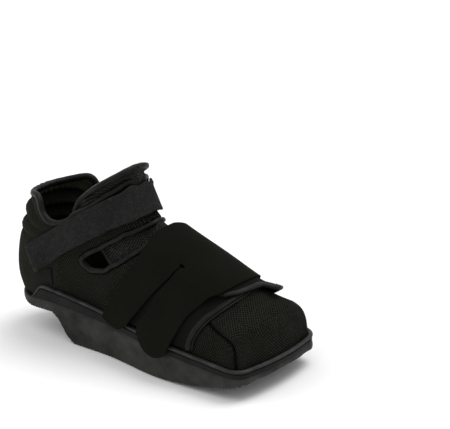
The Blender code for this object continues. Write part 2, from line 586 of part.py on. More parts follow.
def build_binding(name, line, closed, inward):
    """Soft tape folded round a cut edge of the wall, beside it by the fit gap."""
    s, v = line[:, 0], line[:, 1]
    edge = on_skin(s, v, np.zeros_like(s))
    inside = on_skin(s, v, np.full_like(s, -UPPER_WALL))
    outward = (edge - inside) / np.linalg.norm(edge - inside, axis=1, keepdims=True)
    if closed:
        run = np.roll(edge, -1, 0) - np.roll(edge, 1, 0)
    else:
        run = np.gradient(edge, axis=0)
    run /= np.linalg.norm(run, axis=1, keepdims=True)
    away = np.cross(run, outward) * inward
    away /= np.linalg.norm(away, axis=1, keepdims=True)
    centre = (edge + inside) / 2 + outward * BINDING_SHIFT + away * (BINDING_FIT + BINDING_TALL / 2)
    bm = bmesh.new()
    rings = []
    turn = (np.arange(SIDES) + 0.5) * 2 * np.pi / SIDES
    across = np.sign(np.cos(turn)) * np.abs(np.cos(turn)) ** 0.6 * BINDING_WIDE / 2
    height = np.sign(np.sin(turn)) * np.abs(np.sin(turn)) ** 0.6 * BINDING_TALL / 2
    for middle, out, up in zip(centre, outward, away):
        rings.append([bm.verts.new(middle + out * a + up * h) for a, h in zip(across, height)])
    pairs = list(zip(rings[:-1], rings[1:]))
    if closed:
        pairs.append((rings[-1], rings[0]))
    else:
        bm.faces.new(rings[0])
        bm.faces.new(rings[-1][::-1])
    for one, two in pairs:
        for i in range(SIDES):
            j = (i + 1) % SIDES
            bm.faces.new((one[i], one[j], two[j], two[i]))
    finish(name, bm, (0.030, 0.030, 0.030), 0.6)


def build_bindings():
    """Collar binding as a closed loop and the slit binding as one strip."""
    collar = spline((COLLAR["s"][1:-1], COLLAR["v"][1:-1]), 2)
    far = np.stack([collar[-2:0:-1, 0], 2 - collar[-2:0:-1, 1]], 1)
    build_binding("collar_binding", np.concatenate([collar, far]), True, -1)
    arm = spline((ARM_EDGE["s"][1:] + SLIT_EDGE["s"], ARM_EDGE["v"][1:] + SLIT_EDGE["v"]), 2)
    far = np.stack([arm[:0:-1, 0], 2 - arm[:0:-1, 1]], 1)
    build_binding("slit_binding", np.concatenate([far, arm]), False, -1)


def build_sole():
    """Base wedge, step, rocker and cup wall with its bead, all one body."""
    side_x = (0.046, 0.053, STEP_TOP_X - STEP_ROUND, STEP_TOP_X + STEP_ROUND,
              STEP_FOOT_X - STEP_ROUND, STEP_FOOT_X + STEP_ROUND, 0.100, 0.118, 0.136, 0.154,
              ROCKER_X, 0.190, 0.208, 0.226, 0.242, 0.256)
    edge = half_outline(8, side_x, 4, 4)
    arc = np.concatenate([[0], np.cumsum(np.linalg.norm(np.diff(edge, axis=0), axis=1))])
    x, y, out_x, out_y = edge_at(arc / arc[-1])
    x, y = edge[:, 0], edge[:, 1]
    under = sole_under(x)
    base = base_top(x)
    rim = rim_top(x)
    tall = np.clip((rim - base) / 0.008, 0, 1)
    lines = [
        (FLOOR_INSET + 0 * x, under),
        (0 * x, under + BASE_ROUND),
        (0 * x, base - 0.0010),
        (LEDGE * tall, base),
        (0.0003 * tall, base + (rim - base) * 0.50),
        (0.0000 * tall, rim - BEAD_TALL * tall - 0.0001),
        (GROOVE_DEEP * tall, rim - BEAD_TALL * 0.80 * tall),
        (-BEAD_OUT * tall, rim - BEAD_TALL * 0.50 * tall),
        (-BEAD_OUT * tall, rim - BEAD_TALL * 0.22 * tall),
        (0.0010 + 0 * x, rim),
        (CUP_WALL * 0.72 + 0 * x, rim - 0.0002 * tall),
        (CUP_WALL + 0 * x, rim - 0.0012 * tall - 0.0001),
        (CUP_WALL + 0 * x, base),
    ]
    bm = bmesh.new()
    loops = []
    for inset, z in lines:
        half = np.stack([x - out_x * inset, y - out_y * inset, z], 1)
        half[0, 1] = 0
        half[-1, 1] = 0
        loops.append(np.concatenate([half, half[-2:0:-1] * [1, -1, 1]]))
    verts = [[bm.verts.new(point) for point in loop] for loop in loops]
    count = len(verts[0])
    for one, two in zip(verts[:-1], verts[1:]):
        for i in range(count):
            j = (i + 1) % count
            bm.faces.new((one[i], one[j], two[j], two[i]))
    half = len(x)
    for ring in (verts[0], verts[-1]):
        for i in range(half - 1):
            a, b = ring[i], ring[i + 1]
            c, d = ring[(count - i - 1) % count], ring[(count - i) % count]
            corners = [a, b, c, d]
            corners = [vertex for k, vertex in enumerate(corners) if vertex not in corners[:k]]
            bm.faces.new(corners)
    bmesh.ops.triangulate(bm, faces=[face for face in bm.faces if len(face.verts) > 3])
    finish("sole", bm, (0.060, 0.060, 0.056), 0.6)


def build_insole():
    """Thin padded footbed inside the upper."""
    steps = np.linspace(0, 1, 37)
    x, y, out_x, out_y = edge_at(steps)
    inset = smooth(SKIN_INSET["share"], SKIN_INSET["inset"], steps) + UPPER_WALL + 4 * FIT
    bottom = base_top(x) + LIP + FIT
    lines = [
        (inset + 0.001, bottom),
        (inset, bottom + 0.001),
        (inset, bottom + INSOLE_THICK - 0.001),
        (inset + 0.0015, bottom + INSOLE_THICK),
    ]
    bm = bmesh.new()
    loops = []
    for inward, z in lines:
        half = np.stack([x - out_x * inward, y - out_y * inward, z], 1)
        half[0, 1] = 0
        half[-1, 1] = 0
        loops.append(np.concatenate([half, half[-2:0:-1] * [1, -1, 1]]))
    verts = [[bm.verts.new(point) for point in loop] for loop in loops]
    count = len(verts[0])
    for one, two in zip(verts[:-1], verts[1:]):
        for i in range(count):
            j = (i + 1) % count
            bm.faces.new((one[i], one[j], two[j], two[i]))
    for ring in (verts[0], verts[-1]):
        for i in range(len(x) - 1):
            a, b = ring[i], ring[i + 1]
            c, d = ring[(count - i - 1) % count], ring[(count - i) % count]
            corners = [a, b, c, d]
            corners = [vertex for k, vertex in enumerate(corners) if vertex not in corners[:k]]
            bm.faces.new(corners)
    bmesh.ops.triangulate(bm, faces=[face for face in bm.faces if len(face.verts) > 3])
    finish("insole", bm, (0.03, 0.03, 0.03), 0.9)


def centre_shoe():
    """Bring the middle of the shoe's box over the origin, standing on the floor."""
    corners = np.array([vertex.co[:] for item in SHOE.objects for vertex in item.data.vertices])
    middle = (corners.min(0) + corners.max(0)) / 2
    for item in SHOE.objects:
        for vertex in item.data.vertices:
            vertex.co.x -= middle[0]
            vertex.co.y -= middle[1]


empty_scene()
build_sole()
build_insole()
build_upper()
build_tongue()
build_flaps()
build_closure()
build_strap()
build_tape()
build_bindings()
centre_shoe()
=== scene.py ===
"""Looks of a post operative shoe with a heel relief wedge.

Every soft piece lies on one skin, the outer face of the upper, drawn with the heel back at
x = 0 and the toe along +X, and then brought to the frame. A place on the skin is given by two
shares: s runs from the heel back (0) round to the toe front (1), v runs from the sole edge (0)
up the lateral side to the ridge (1) and down the medial side to the sole edge again (2).
"""
import math

import bmesh
import bpy
import numpy as np
from mathutils import Matrix, Vector
from mathutils.kdtree import KDTree


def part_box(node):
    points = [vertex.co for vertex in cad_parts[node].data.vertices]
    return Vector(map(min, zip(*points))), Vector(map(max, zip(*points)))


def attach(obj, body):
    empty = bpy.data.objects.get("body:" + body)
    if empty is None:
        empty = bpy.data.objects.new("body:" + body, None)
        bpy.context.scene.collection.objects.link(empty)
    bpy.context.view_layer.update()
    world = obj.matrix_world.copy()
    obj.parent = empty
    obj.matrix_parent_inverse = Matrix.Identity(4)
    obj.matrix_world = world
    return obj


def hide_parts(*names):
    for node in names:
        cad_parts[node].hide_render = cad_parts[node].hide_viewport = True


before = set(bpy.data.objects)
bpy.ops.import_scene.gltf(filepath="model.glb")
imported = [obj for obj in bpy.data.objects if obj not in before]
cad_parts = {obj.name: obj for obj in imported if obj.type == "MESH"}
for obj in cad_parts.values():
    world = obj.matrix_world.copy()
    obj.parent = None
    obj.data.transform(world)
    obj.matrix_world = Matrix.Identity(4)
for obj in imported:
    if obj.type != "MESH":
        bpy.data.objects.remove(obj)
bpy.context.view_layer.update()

# outline of the sole
LENGTH = 0.285
HEEL_HALF = 0.0376
WAIST_HALF = 0.0400
BALL_HALF = 0.0530
TOE_HALF = 0.0557
WAIST_SHARE = 0.40
BALL_SHARE = 0.70
TOE_CORNER = 0.016
TOE_BOW = 0.004

# underside of the sole
HEEL_LIFT = 0.0247
STEP_TOP_X = 0.0605
STEP_FOOT_X = 0.0778
STEP_ROUND = 0.004
ROCKER_X = 0.1725
TOE_SPRING = 0.0144
HEEL_CURL = 0.010
HEEL_CURL_X = 0.030
TREAD_PITCH = 0.0036
TREAD_DEEP = 0.0006

# cup wall of the sole
LIP = 0.0006
CUP_WALL = 0.0038
BEAD_OUT = 0.0008
BEAD_TALL = 0.0042
GROOVE_DEEP = 0.0012
LEDGE = 0.0009
BASE_ROUND = 0.0016
FLOOR_INSET = 0.0022

# last
ANKLE_TOP = 0.170
ANKLE_DROP = 0.002
ANKLE_MID_X = 0.0835
ANKLE_LONG = 0.0505
ANKLE_WIDE = 0.0400
SHAFT_SHARE = 0.37
SHAFT_BLEND = 0.14
SHAFT_EASE = 0.018
SHAFT_EASE_FADE = 0.12
EASE_SHARES = ((-1.0, 0.125), (-0.5, 0.25), (0.0, 0.25), (0.5, 0.25), (1.0, 0.125))
EASE_REACH = 2.5
FRAME_STEP = 4e-3

# walls
FIT = 0.0003
UPPER_WALL = 0.0035
TONGUE_THICK = 0.0060
FLAP_THICK = 0.0027
CLOSURE_THICK = 0.0020
STRAP_THICK = 0.0022
TAPE_THICK = 0.0010
INSOLE_THICK = 0.0040
SLOT_ROUND = 0.0022

BASE_TOP = dict(x=(0.0, 0.050, 0.150, 0.285), z=(0.0328, 0.0340, 0.0278, 0.0200))
RIM_TOP = dict(x=(0.0, 0.050, 0.1425, 0.285), z=(0.0515, 0.0485, 0.0389, 0.0280))
RIM_RISE = dict(x=(0.0, 0.030, 0.034, 0.045, 0.050), share=(0.0, 0.0, 0.25, 0.97, 1.0))

RIDGE = dict(
    s=(0.37, 0.41, 0.44, 0.47, 0.51, 0.56, 0.62, 0.67, 0.76, 0.82, 0.89, 1.0),
    x=(0.134, 0.139, 0.145, 0.156, 0.172, 0.198, 0.226, 0.247, 0.260, 0.267, 0.272, 0.276),
    z=(0.168, 0.148, 0.131, 0.120, 0.1125, 0.1015, 0.089, 0.078, 0.070, 0.0655, 0.0625, 0.059),
)
# cross sections of the last, one column for each station
STATIONS = dict(
    s=(0.00, 0.05, 0.10, 0.15, 0.20, 0.27, 0.32, 0.37, 0.42, 0.47, 0.56, 0.67, 0.76, 0.82, 0.89,
       0.95, 1.0),
    base=(0.00, 0.05, 0.10, 0.15, 0.20, 0.27, 0.31, 0.35, 0.405, 0.46, 0.56, 0.665, 0.755, 0.82,
          0.885, 0.945, 1.0),
    wall=(0.30, 0.30, 0.30, 0.31, 0.32, 0.34, 0.35, 0.36, 0.40, 0.46, 0.55, 0.62, 0.72, 0.80,
          0.80, 0.77, 0.74),
    drop=(0.050, 0.050, 0.050, 0.050, 0.049, 0.046, 0.038, 0.026, 0.012, 0.004, 0.0, 0.0, 0.0,
          0.0, 0.0, 0.0, 0.0),
    pull=(0.0, 0.0, 0.0, 0.0, 0.002, 0.008, 0.014, 0.019, 0.022, 0.023, 0.023, 0.0285, 0.037,
          0.040, 0.039, 0.022, 0.0070),
    low_bulge=(0.018, 0.017, 0.011, 0.0035, 0.0, 0.0, 0.0, 0.0, 0.0, 0.0, 0.0, 0.0, 0.0, 0.0,
               0.0, 0.0, 0.0),
    high_bulge=(0.011, 0.010, 0.007, 0.004, 0.001, 0.0, 0.0, 0.0, 0.0, 0.0, 0.0, 0.0, 0.0, 0.0,
                0.0, 0.0, 0.0),
)
SKIN_INSET = dict(share=(0.0, 0.07, 0.135, 1.0), inset=(0.0010, 0.0012, 0.0043, 0.0043))
SKIN_LIFT = dict(share=(0.0, 0.10, 0.14, 1.0), lift=(0.0009, 0.0009, 0.0003, 0.0003))

# edge lines on the skin, shares s and v
COLLAR = dict(
    s=(-0.02, 0.00, 0.05, 0.088, 0.104, 0.115, 0.124, 0.138, 0.158, 0.178, 0.202, 0.224, 0.238,
       0.266, 0.309, 0.347, 0.376, 0.405, 0.419, 0.422),
    v=(0.700, 0.700, 0.706, 0.722, 0.726, 0.708, 0.676, 0.632, 0.592, 0.573, 0.578, 0.607, 0.652,
       0.697, 0.768, 0.808, 0.845, 0.920, 1.000, 1.06),
)
ARM_EDGE = dict(
    s=(0.464, 0.463, 0.461, 0.448, 0.423, 0.393, 0.356, 0.323, 0.298),
    v=(1.06, 1.00, 0.905, 0.770, 0.630, 0.512, 0.445, 0.422, 0.396),
)
SLIT_EDGE = dict(
    s=(0.286, 0.292, 0.313, 0.352, 0.393, 0.417, 0.443, 0.477, 0.490, 0.498),
    v=(0.360, 0.325, 0.290, 0.258, 0.285, 0.352, 0.441, 0.603, 0.720, 0.840),
)
THROAT_EDGE = dict(
    s=(0.515, 0.560, 0.620, 0.665, 0.686, 0.690),
    v=(0.870, 0.870, 0.870, 0.890, 0.960, 1.06),
)
TONGUE_EDGE = dict(
    s=(0.374, 0.373, 0.364, 0.338, 0.314, 0.290, 0.265, 0.245, 0.230, 0.221, 0.216, 0.218, 0.227,
       0.244, 0.290, 0.348, 0.385, 0.430, 0.500, 0.600, 0.655, 0.672, 0.674),
    v=(1.06, 1.0, 0.981, 0.961, 0.932, 0.901, 0.859, 0.811, 0.772, 0.735, 0.690, 0.650, 0.610,
       0.576, 0.480, 0.394, 0.342, 0.330, 0.430, 0.620, 0.800, 0.950, 1.06),
)
STRAP_LOW = dict(
    s=(0.157, 0.201, 0.228, 0.268, 0.310, 0.343, 0.384, 0.414, 0.434, 0.450, 0.454),
    v=(0.207, 0.288, 0.364, 0.444, 0.497, 0.517, 0.557, 0.650, 0.761, 0.900, 1.000),
)
STRAP_HIGH = dict(
    s=(0.112, 0.155, 0.198, 0.238, 0.268, 0.295, 0.319, 0.348, 0.389, 0.403),
    v=(0.389, 0.492, 0.587, 0.675, 0.733, 0.773, 0.795, 0.812, 0.885, 1.000),
)
STRAP_ANCHOR_S = 0.175
LATERAL_FLAP = dict(
    s=(0.712, 0.709, 0.706, 0.707, 0.711, 0.716, 0.710, 0.695, 0.672, 0.620, 0.560, 0.530,
       0.516, 0.512, 0.506, 0.492, 0.474, 0.458, 0.455, 0.520, 0.600, 0.680),
    v=(0.112, 0.140, 0.195, 0.290, 0.450, 0.613, 0.830, 1.000, 1.200, 1.240, 1.240, 1.200,
       1.000, 0.850, 0.620, 0.430, 0.250, 0.140, 0.102, 0.092, 0.096, 0.106),
)
MEDIAL_FLAP = dict(
    s=(0.679, 0.692, 0.703, 0.709, 0.714, 0.724, 0.748, 0.774, 0.790, 0.793, 0.776, 0.735, 0.712,
       0.708, 0.712, 0.600, 0.480, 0.474, 0.495, 0.510, 0.516, 0.520, 0.535, 0.600, 0.650),
    v=(0.728, 0.800, 0.876, 1.000, 1.100, 1.150, 1.180, 1.196, 1.225, 1.290, 1.390, 1.550, 1.720,
       1.850, 1.886, 1.904, 1.905, 1.750, 1.560, 1.350, 1.100, 0.850, 0.725, 0.700, 0.700),
)
WING_FRONT = 8
HOOK_FRONT = 12
CLOSURE = dict(
    s=(0.507, 0.504, 0.501, 0.495, 0.492, 0.483, 0.471, 0.459, 0.446, 0.434, 0.424, 0.430,
       0.449, 0.475, 0.493, 0.516, 0.530, 0.545, 0.557, 0.569, 0.585, 0.603, 0.621, 0.638,
       0.650, 0.656, 0.659, 0.658, 0.657, 0.661, 0.670, 0.669, 0.669, 0.672, 0.676, 0.668,
       0.660, 0.570, 0.480, 0.490, 0.500),
    v=(1.140, 1.000, 0.909, 0.821, 0.647, 0.536, 0.441, 0.329, 0.228, 0.139, 0.068, 0.050,
       0.036, 0.029, 0.056, 0.100, 0.100, 0.060, 0.012, -0.025, -0.046, -0.050, -0.034, 0.000,
       0.045, 0.110, 0.195, 0.296, 0.400, 0.626, 0.749, 0.902, 1.040, 1.240, 1.360, 1.600,
       1.850, 1.860, 1.850, 1.600, 1.350),
)
TAB_SLOT = dict(
    s=(0.576, 0.573, 0.566, 0.560, 0.552, 0.543, 0.532, 0.524, 0.518),
    v=(0.700, 0.630, 0.500, 0.400, 0.300, 0.215, 0.140, 0.080, 0.030),
    half=(0.0006, 0.0008, 0.0024, 0.0040, 0.0070, 0.0100, 0.0130, 0.0170, 0.0190),
)
TAPE = dict(s=(0.186, 0.204, 0.216, 0.198), v=(0.240, 0.250, 0.125, 0.125))

# run round the sole up to which the heel is plain stretch cloth
HEEL_CLOTH_TO = 0.080
# how far the holes are filled there, the holes' rim and scatter, and how level the top cloth lies
HEEL_FILL = 0.62
HOLE_EDGE = (0.26, 0.50)
HOLE_SCATTER = 0.16
TOP_FACING = (0.62, 0.70)

# height of the inner face of each layer over the skin, v against height
TONGUE_RISE = dict(v=(0.3, 0.45, 0.7, 1.0), h=(-0.0105, -0.0122, -0.0132, -0.0136))
MEDIAL_RISE = dict(v=(0.60, 1.38, 1.58, 1.80, 2.0), h=(0.0036, 0.0036, 0.0008, 0.0003, 0.0003))
CLOSURE_RISE = dict(
    v=(-0.10, 0.12, 0.24, 0.54, 0.64, 1.38, 1.60, 1.80, 2.0),
    h=(0.0066, 0.0064, 0.0040, 0.0034, 0.0068, 0.0068, 0.0044, 0.0034, 0.0034),
)
STRAP_RISE = dict(v=(0.0, 0.40, 0.55, 0.75, 1.0), h=(0.0009, 0.0013, 0.0027, 0.0034, 0.0034))
TONGUE_LEAN = dict(s=(0.370, 0.385, 0.396, 0.415, 0.455, 0.478, 0.505, 0.540),
                   h=(0.0095, 0.0118, 0.0108, 0.0035, 0.0035, 0.0080, 0.0080, 0.0030))
TONGUE_LEAN_FADE = (0.78, 0.95)
HOOK_LIFT = 0.0034
HOOK_S = 0.705
HOOK_REACH_S = 0.075
HOOK_V = 1.24
HOOK_REACH_V = 0.26

# flat sheets, before they are laid on the skin
SHEET_LONG = 0.40
SHEET_TALL = 0.20
OUTLINE_STEP = 0.0012
EDGE_RINGS = (0.00025, 0.00045, 0.0007)

# soft troughs and ridges of the worn cloth: line on the skin, height in metres, reach in metres
FOLDS = (
    dict(s=(-0.26, -0.178, -0.112, 0.0, 0.084, 0.112, 0.147, 0.178, 0.260),
         v=(0.480, 0.540, 0.625, 0.682, 0.672, 0.625, 0.570, 0.539, 0.480),
         high=-0.0030, reach=0.0023),
    dict(s=(-0.26, -0.165, -0.11, 0.0, 0.084, 0.112, 0.165, 0.26),
         v=(0.460, 0.525, 0.590, 0.632, 0.620, 0.585, 0.522, 0.46), high=0.0022, reach=0.0042),
    dict(s=(-0.26, -0.165, -0.102, 0.0, 0.080, 0.102, 0.132, 0.165, 0.26),
         v=(0.440, 0.508, 0.543, 0.575, 0.565, 0.543, 0.517, 0.500, 0.44),
         high=-0.0030, reach=0.0023),
    dict(s=(-0.24, -0.130, -0.09, 0.0, 0.090, 0.130, 0.24),
         v=(0.420, 0.488, 0.505, 0.522, 0.505, 0.488, 0.42), high=0.0020, reach=0.0040),
    dict(s=(-0.22, -0.120, -0.088, 0.0, 0.088, 0.108, 0.22),
         v=(0.410, 0.450, 0.461, 0.468, 0.461, 0.456, 0.41), high=-0.0024, reach=0.0022),
    dict(s=(0.235, 0.270, 0.315), v=(0.170, 0.215, 0.235), high=0.0007, reach=0.0035),
    dict(s=(0.300, 0.345, 0.385), v=(0.130, 0.180, 0.215), high=-0.0009, reach=0.0035),
    dict(s=(0.350, 0.395, 0.425), v=(0.090, 0.160, 0.235), high=0.0009, reach=0.0040),
    dict(s=(0.395, 0.425, 0.450), v=(0.100, 0.175, 0.270), high=-0.0008, reach=0.0032),
    dict(s=(0.300, 0.360, 0.410), v=(0.200, 0.195, 0.220), high=-0.0006, reach=0.0030),
    dict(s=(0.750, 0.800, 0.860), v=(0.860, 0.760, 0.640), high=-0.0009, reach=0.0130),
    dict(s=(0.860, 0.920, 0.960), v=(0.920, 0.880, 0.740), high=0.0006, reach=0.0120),
)
TOE_SEAM = dict(
    s=(0.700, 0.725, 0.776, 0.820, 0.841, 0.849, 0.851),
    v=(0.470, 0.445, 0.392, 0.348, 0.280, 0.105, 0.040),
)
SEAM_DEEP = 0.0024
SEAM_REACH = 0.0016
SEAM_STEP = 0.0009
SEAM_STEP_REACH = 0.0060
SEAM_LOW_SIDE = 0.45
CLOTH_UNEVEN = 0.00022

# small forms: the loop at the slit's end, a dark strip of painted shadow in the toe seam, stitches and
# loose threads
LOOP_PLACE = (0.300, 0.372)
LOOP_HALF = 0.0018
SEAM_LINE_LIFT = -0.0006
STITCH_PITCH = 0.0040
THREAD = 0.0007
RIM_STITCH_FROM = 0.046
STRAP_THREADS = 90
STRAP_THREAD_LONG = (0.0004, 0.0014)
STRAP_THREAD_THICK = 0.00016
SEWN_PLACES = (0.03, 0.10, 0.93)
SEWN_THREADS = 14
SEWN_THREAD_THICK = 0.00018

# strips of tape round the cut edges: size across the wall and along it, lift and shift off the line
COLLAR_ROLL = dict(wide=0.0054, tall=0.0054, lift=-0.0012, away_shift=-0.0022)
SLIT_ROLL = dict(wide=0.0050, tall=0.0046, lift=-0.0010, away_shift=0.0024)
TONGUE_BAND = dict(wide=TONGUE_THICK + 0.0010, tall=0.0052, lift=TONGUE_THICK / 2,
                   away_shift=-0.0018)
WING_BAND = dict(wide=FLAP_THICK + 0.0010, tall=0.0058, lift=FIT + FLAP_THICK / 2,
                 away_shift=-0.0025)
WING_PIPING = dict(wide=0.0020, tall=0.0020, lift=0.0013, away_shift=0.0014)
HOOK_BAND = dict(wide=FLAP_THICK + 0.0010, tall=0.0050, lift=FLAP_THICK / 2, away_shift=-0.0021)
LOOP_TUBE = dict(wide=0.0024, tall=0.0016, lift=0.0008, away_shift=0.0)
# dark strip of painted shadow, sunk into the toe seam's groove
SEAM_SHADOW_STRIP = dict(wide=0.0012, tall=0.0011, lift=SEAM_LINE_LIFT, away_shift=0.0)
STRAP_EDGE = dict(wide=0.0012, tall=0.0005, lift=STRAP_THICK / 2, away_shift=0.0)

# cells of the flat patterns before they are laid, along the shoe and up it
UPPER_CELL = (0.00185, 0.00205)
PAD_CELL = (0.0018, 0.0020)
SHEET_CELL = (0.0016, 0.0018)
TAPE_CELL = (0.0012, 0.0012)

# studio light: round soft boxes with place, size and power, and one soft high light
WORLD_LIGHT = 0.74
SOFT_BOXES = (
    ("front_box", (0.6, -1.0, 1.7), 1.4, 3.0),
    ("side_box", (-0.9, -0.9, 1.3), 1.2, 4.0),
)
SUN_FROM = (0.30, 0.62, 1.55)
SUN_POWER = 1.35
SUN_SOFT = math.radians(38)

# where the picture was taken from, and the lens
LOOK_TURN = math.radians(39.45)
LOOK_DOWN = math.radians(18.94)
LOOK_ROLL = math.radians(-2.107)
CAMERA_PLACE = (0.97689, -1.08080, 0.62007)
LENS = 142.256
SENSOR = 36.0

SOLE_LOW, SOLE_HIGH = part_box("sole")
MIDDLE = np.array([LENGTH + TOE_BOW + BEAD_OUT - SOLE_HIGH.x,
                   -(SOLE_LOW.y + SOLE_HIGH.y) / 2, 0.0])


def smooth(knots, values, at):
    """Monotone cubic through a short table."""
    knots = np.asarray(knots, float)
    values = np.asarray(values, float)
    at = np.clip(np.asarray(at, float), knots[0], knots[-1])
    gap = np.diff(knots)
    slope = np.diff(values) / gap
    tangent = np.concatenate([[slope[0]], np.zeros(len(slope) - 1), [slope[-1]]])
    near = 2 * gap[1:] + gap[:-1]
    far = 2 * gap[:-1] + gap[1:]
    same = slope[1:] * slope[:-1] > 0
    mean = np.zeros(len(slope) - 1)
    mean[same] = (near + far)[same] / (
        near[same] / slope[:-1][same] + far[same] / slope[1:][same])
    tangent[1:-1] = mean
    i = np.clip(np.searchsorted(knots, at, side="right") - 1, 0, len(gap) - 1)
    t = (at - knots[i]) / gap[i]
    return (values[i] * (1 + 2 * t) * (1 - t) ** 2 + tangent[i] * gap[i] * t * (1 - t) ** 2
            + values[i + 1] * t * t * (3 - 2 * t) + tangent[i + 1] * gap[i] * t * t * (t - 1))


def half_width(x):
    """Half width of the sole ahead of the heel arc."""
    knots = (HEEL_HALF, WAIST_SHARE * LENGTH, BALL_SHARE * LENGTH, LENGTH - TOE_CORNER)
    return smooth(knots, (HEEL_HALF, WAIST_HALF, BALL_HALF, TOE_HALF), x)


def half_outline(heel_steps, side_steps, corner_steps, front_steps):
    """Lateral half of the outline from the heel back to the toe front."""
    turn = np.linspace(0, np.pi / 2, heel_steps + 1)
    heel = np.stack([HEEL_HALF * (1 - np.cos(turn)), -HEEL_HALF * np.sin(turn)], 1)
    side_x = np.linspace(HEEL_HALF, LENGTH - TOE_CORNER, side_steps + 1)[1:-1]
    side = np.stack([side_x, -half_width(side_x)], 1)
    turn = np.linspace(0, np.pi / 2, corner_steps + 1)
    flat = TOE_HALF - TOE_CORNER
    corner = np.stack([LENGTH - TOE_CORNER + TOE_CORNER * np.sin(turn),
                       -flat - TOE_CORNER * np.cos(turn)], 1)
    y = np.linspace(-flat, 0, front_steps + 1)[1:]
    front = np.stack([LENGTH + TOE_BOW * (1 - (y / flat) ** 2), y], 1)
    return np.concatenate([heel, side, corner, front])


FINE_EDGE = half_outline(60, 161, 30, 30)
FINE_ARC = np.concatenate(
    [[0], np.cumsum(np.linalg.norm(np.diff(FINE_EDGE, axis=0), axis=1))])


def edge_at(share):
    """Outline point and outward direction at a share of the half outline."""
    reach = 0.0015
    arc = np.asarray(share, float) * FINE_ARC[-1]
    ahead = np.minimum(arc + reach, FINE_ARC[-1])
    behind = np.maximum(arc - reach, 0)
    x = np.interp(arc, FINE_ARC, FINE_EDGE[:, 0])
    y = np.interp(arc, FINE_ARC, FINE_EDGE[:, 1])
    run_x = np.interp(ahead, FINE_ARC, FINE_EDGE[:, 0]) - np.interp(behind, FINE_ARC, FINE_EDGE[:, 0])
    run_y = np.interp(ahead, FINE_ARC, FINE_EDGE[:, 1]) - np.interp(behind, FINE_ARC, FINE_EDGE[:, 1])
    run_x = np.where((arc < reach) | (arc > FINE_ARC[-1] - reach), 0.0, run_x)
    run_y = np.where(arc < reach, -1.0, np.where(arc > FINE_ARC[-1] - reach, 1.0, run_y))
    size = np.hypot(run_x, run_y)
    return x, y, run_y / size, -run_x / size


def base_top(x):
    """Height of the base plane inside the cup."""
    return smooth(BASE_TOP["x"], BASE_TOP["z"], x)


def rim_top(x):
    """Height of the rim, low at the heel back."""
    low = base_top(x) + LIP
    full = smooth(RIM_TOP["x"], RIM_TOP["z"], x)
    return low + (full - low) * smooth(RIM_RISE["x"], RIM_RISE["share"], x)


def sole_under(x):
    """Height of the underside: heel base, step, flat wedge and rocker."""
    knots = (0.0, STEP_TOP_X - STEP_ROUND, STEP_TOP_X + STEP_ROUND, STEP_FOOT_X - STEP_ROUND,
             STEP_FOOT_X + STEP_ROUND, LENGTH)
    slope = HEEL_LIFT / (STEP_FOOT_X - STEP_TOP_X)
    high = HEEL_LIFT - slope * STEP_ROUND
    low = slope * STEP_ROUND
    step = np.interp(x, knots, (HEEL_LIFT, HEEL_LIFT, high, low, 0.0, 0.0))
    curl = HEEL_CURL * np.clip((HEEL_CURL_X - x) / HEEL_CURL_X, 0, 1) ** 2
    rocker = TOE_SPRING * np.clip((x - ROCKER_X) / (LENGTH - ROCKER_X), 0, 1.04) ** 2
    return step + curl + rocker


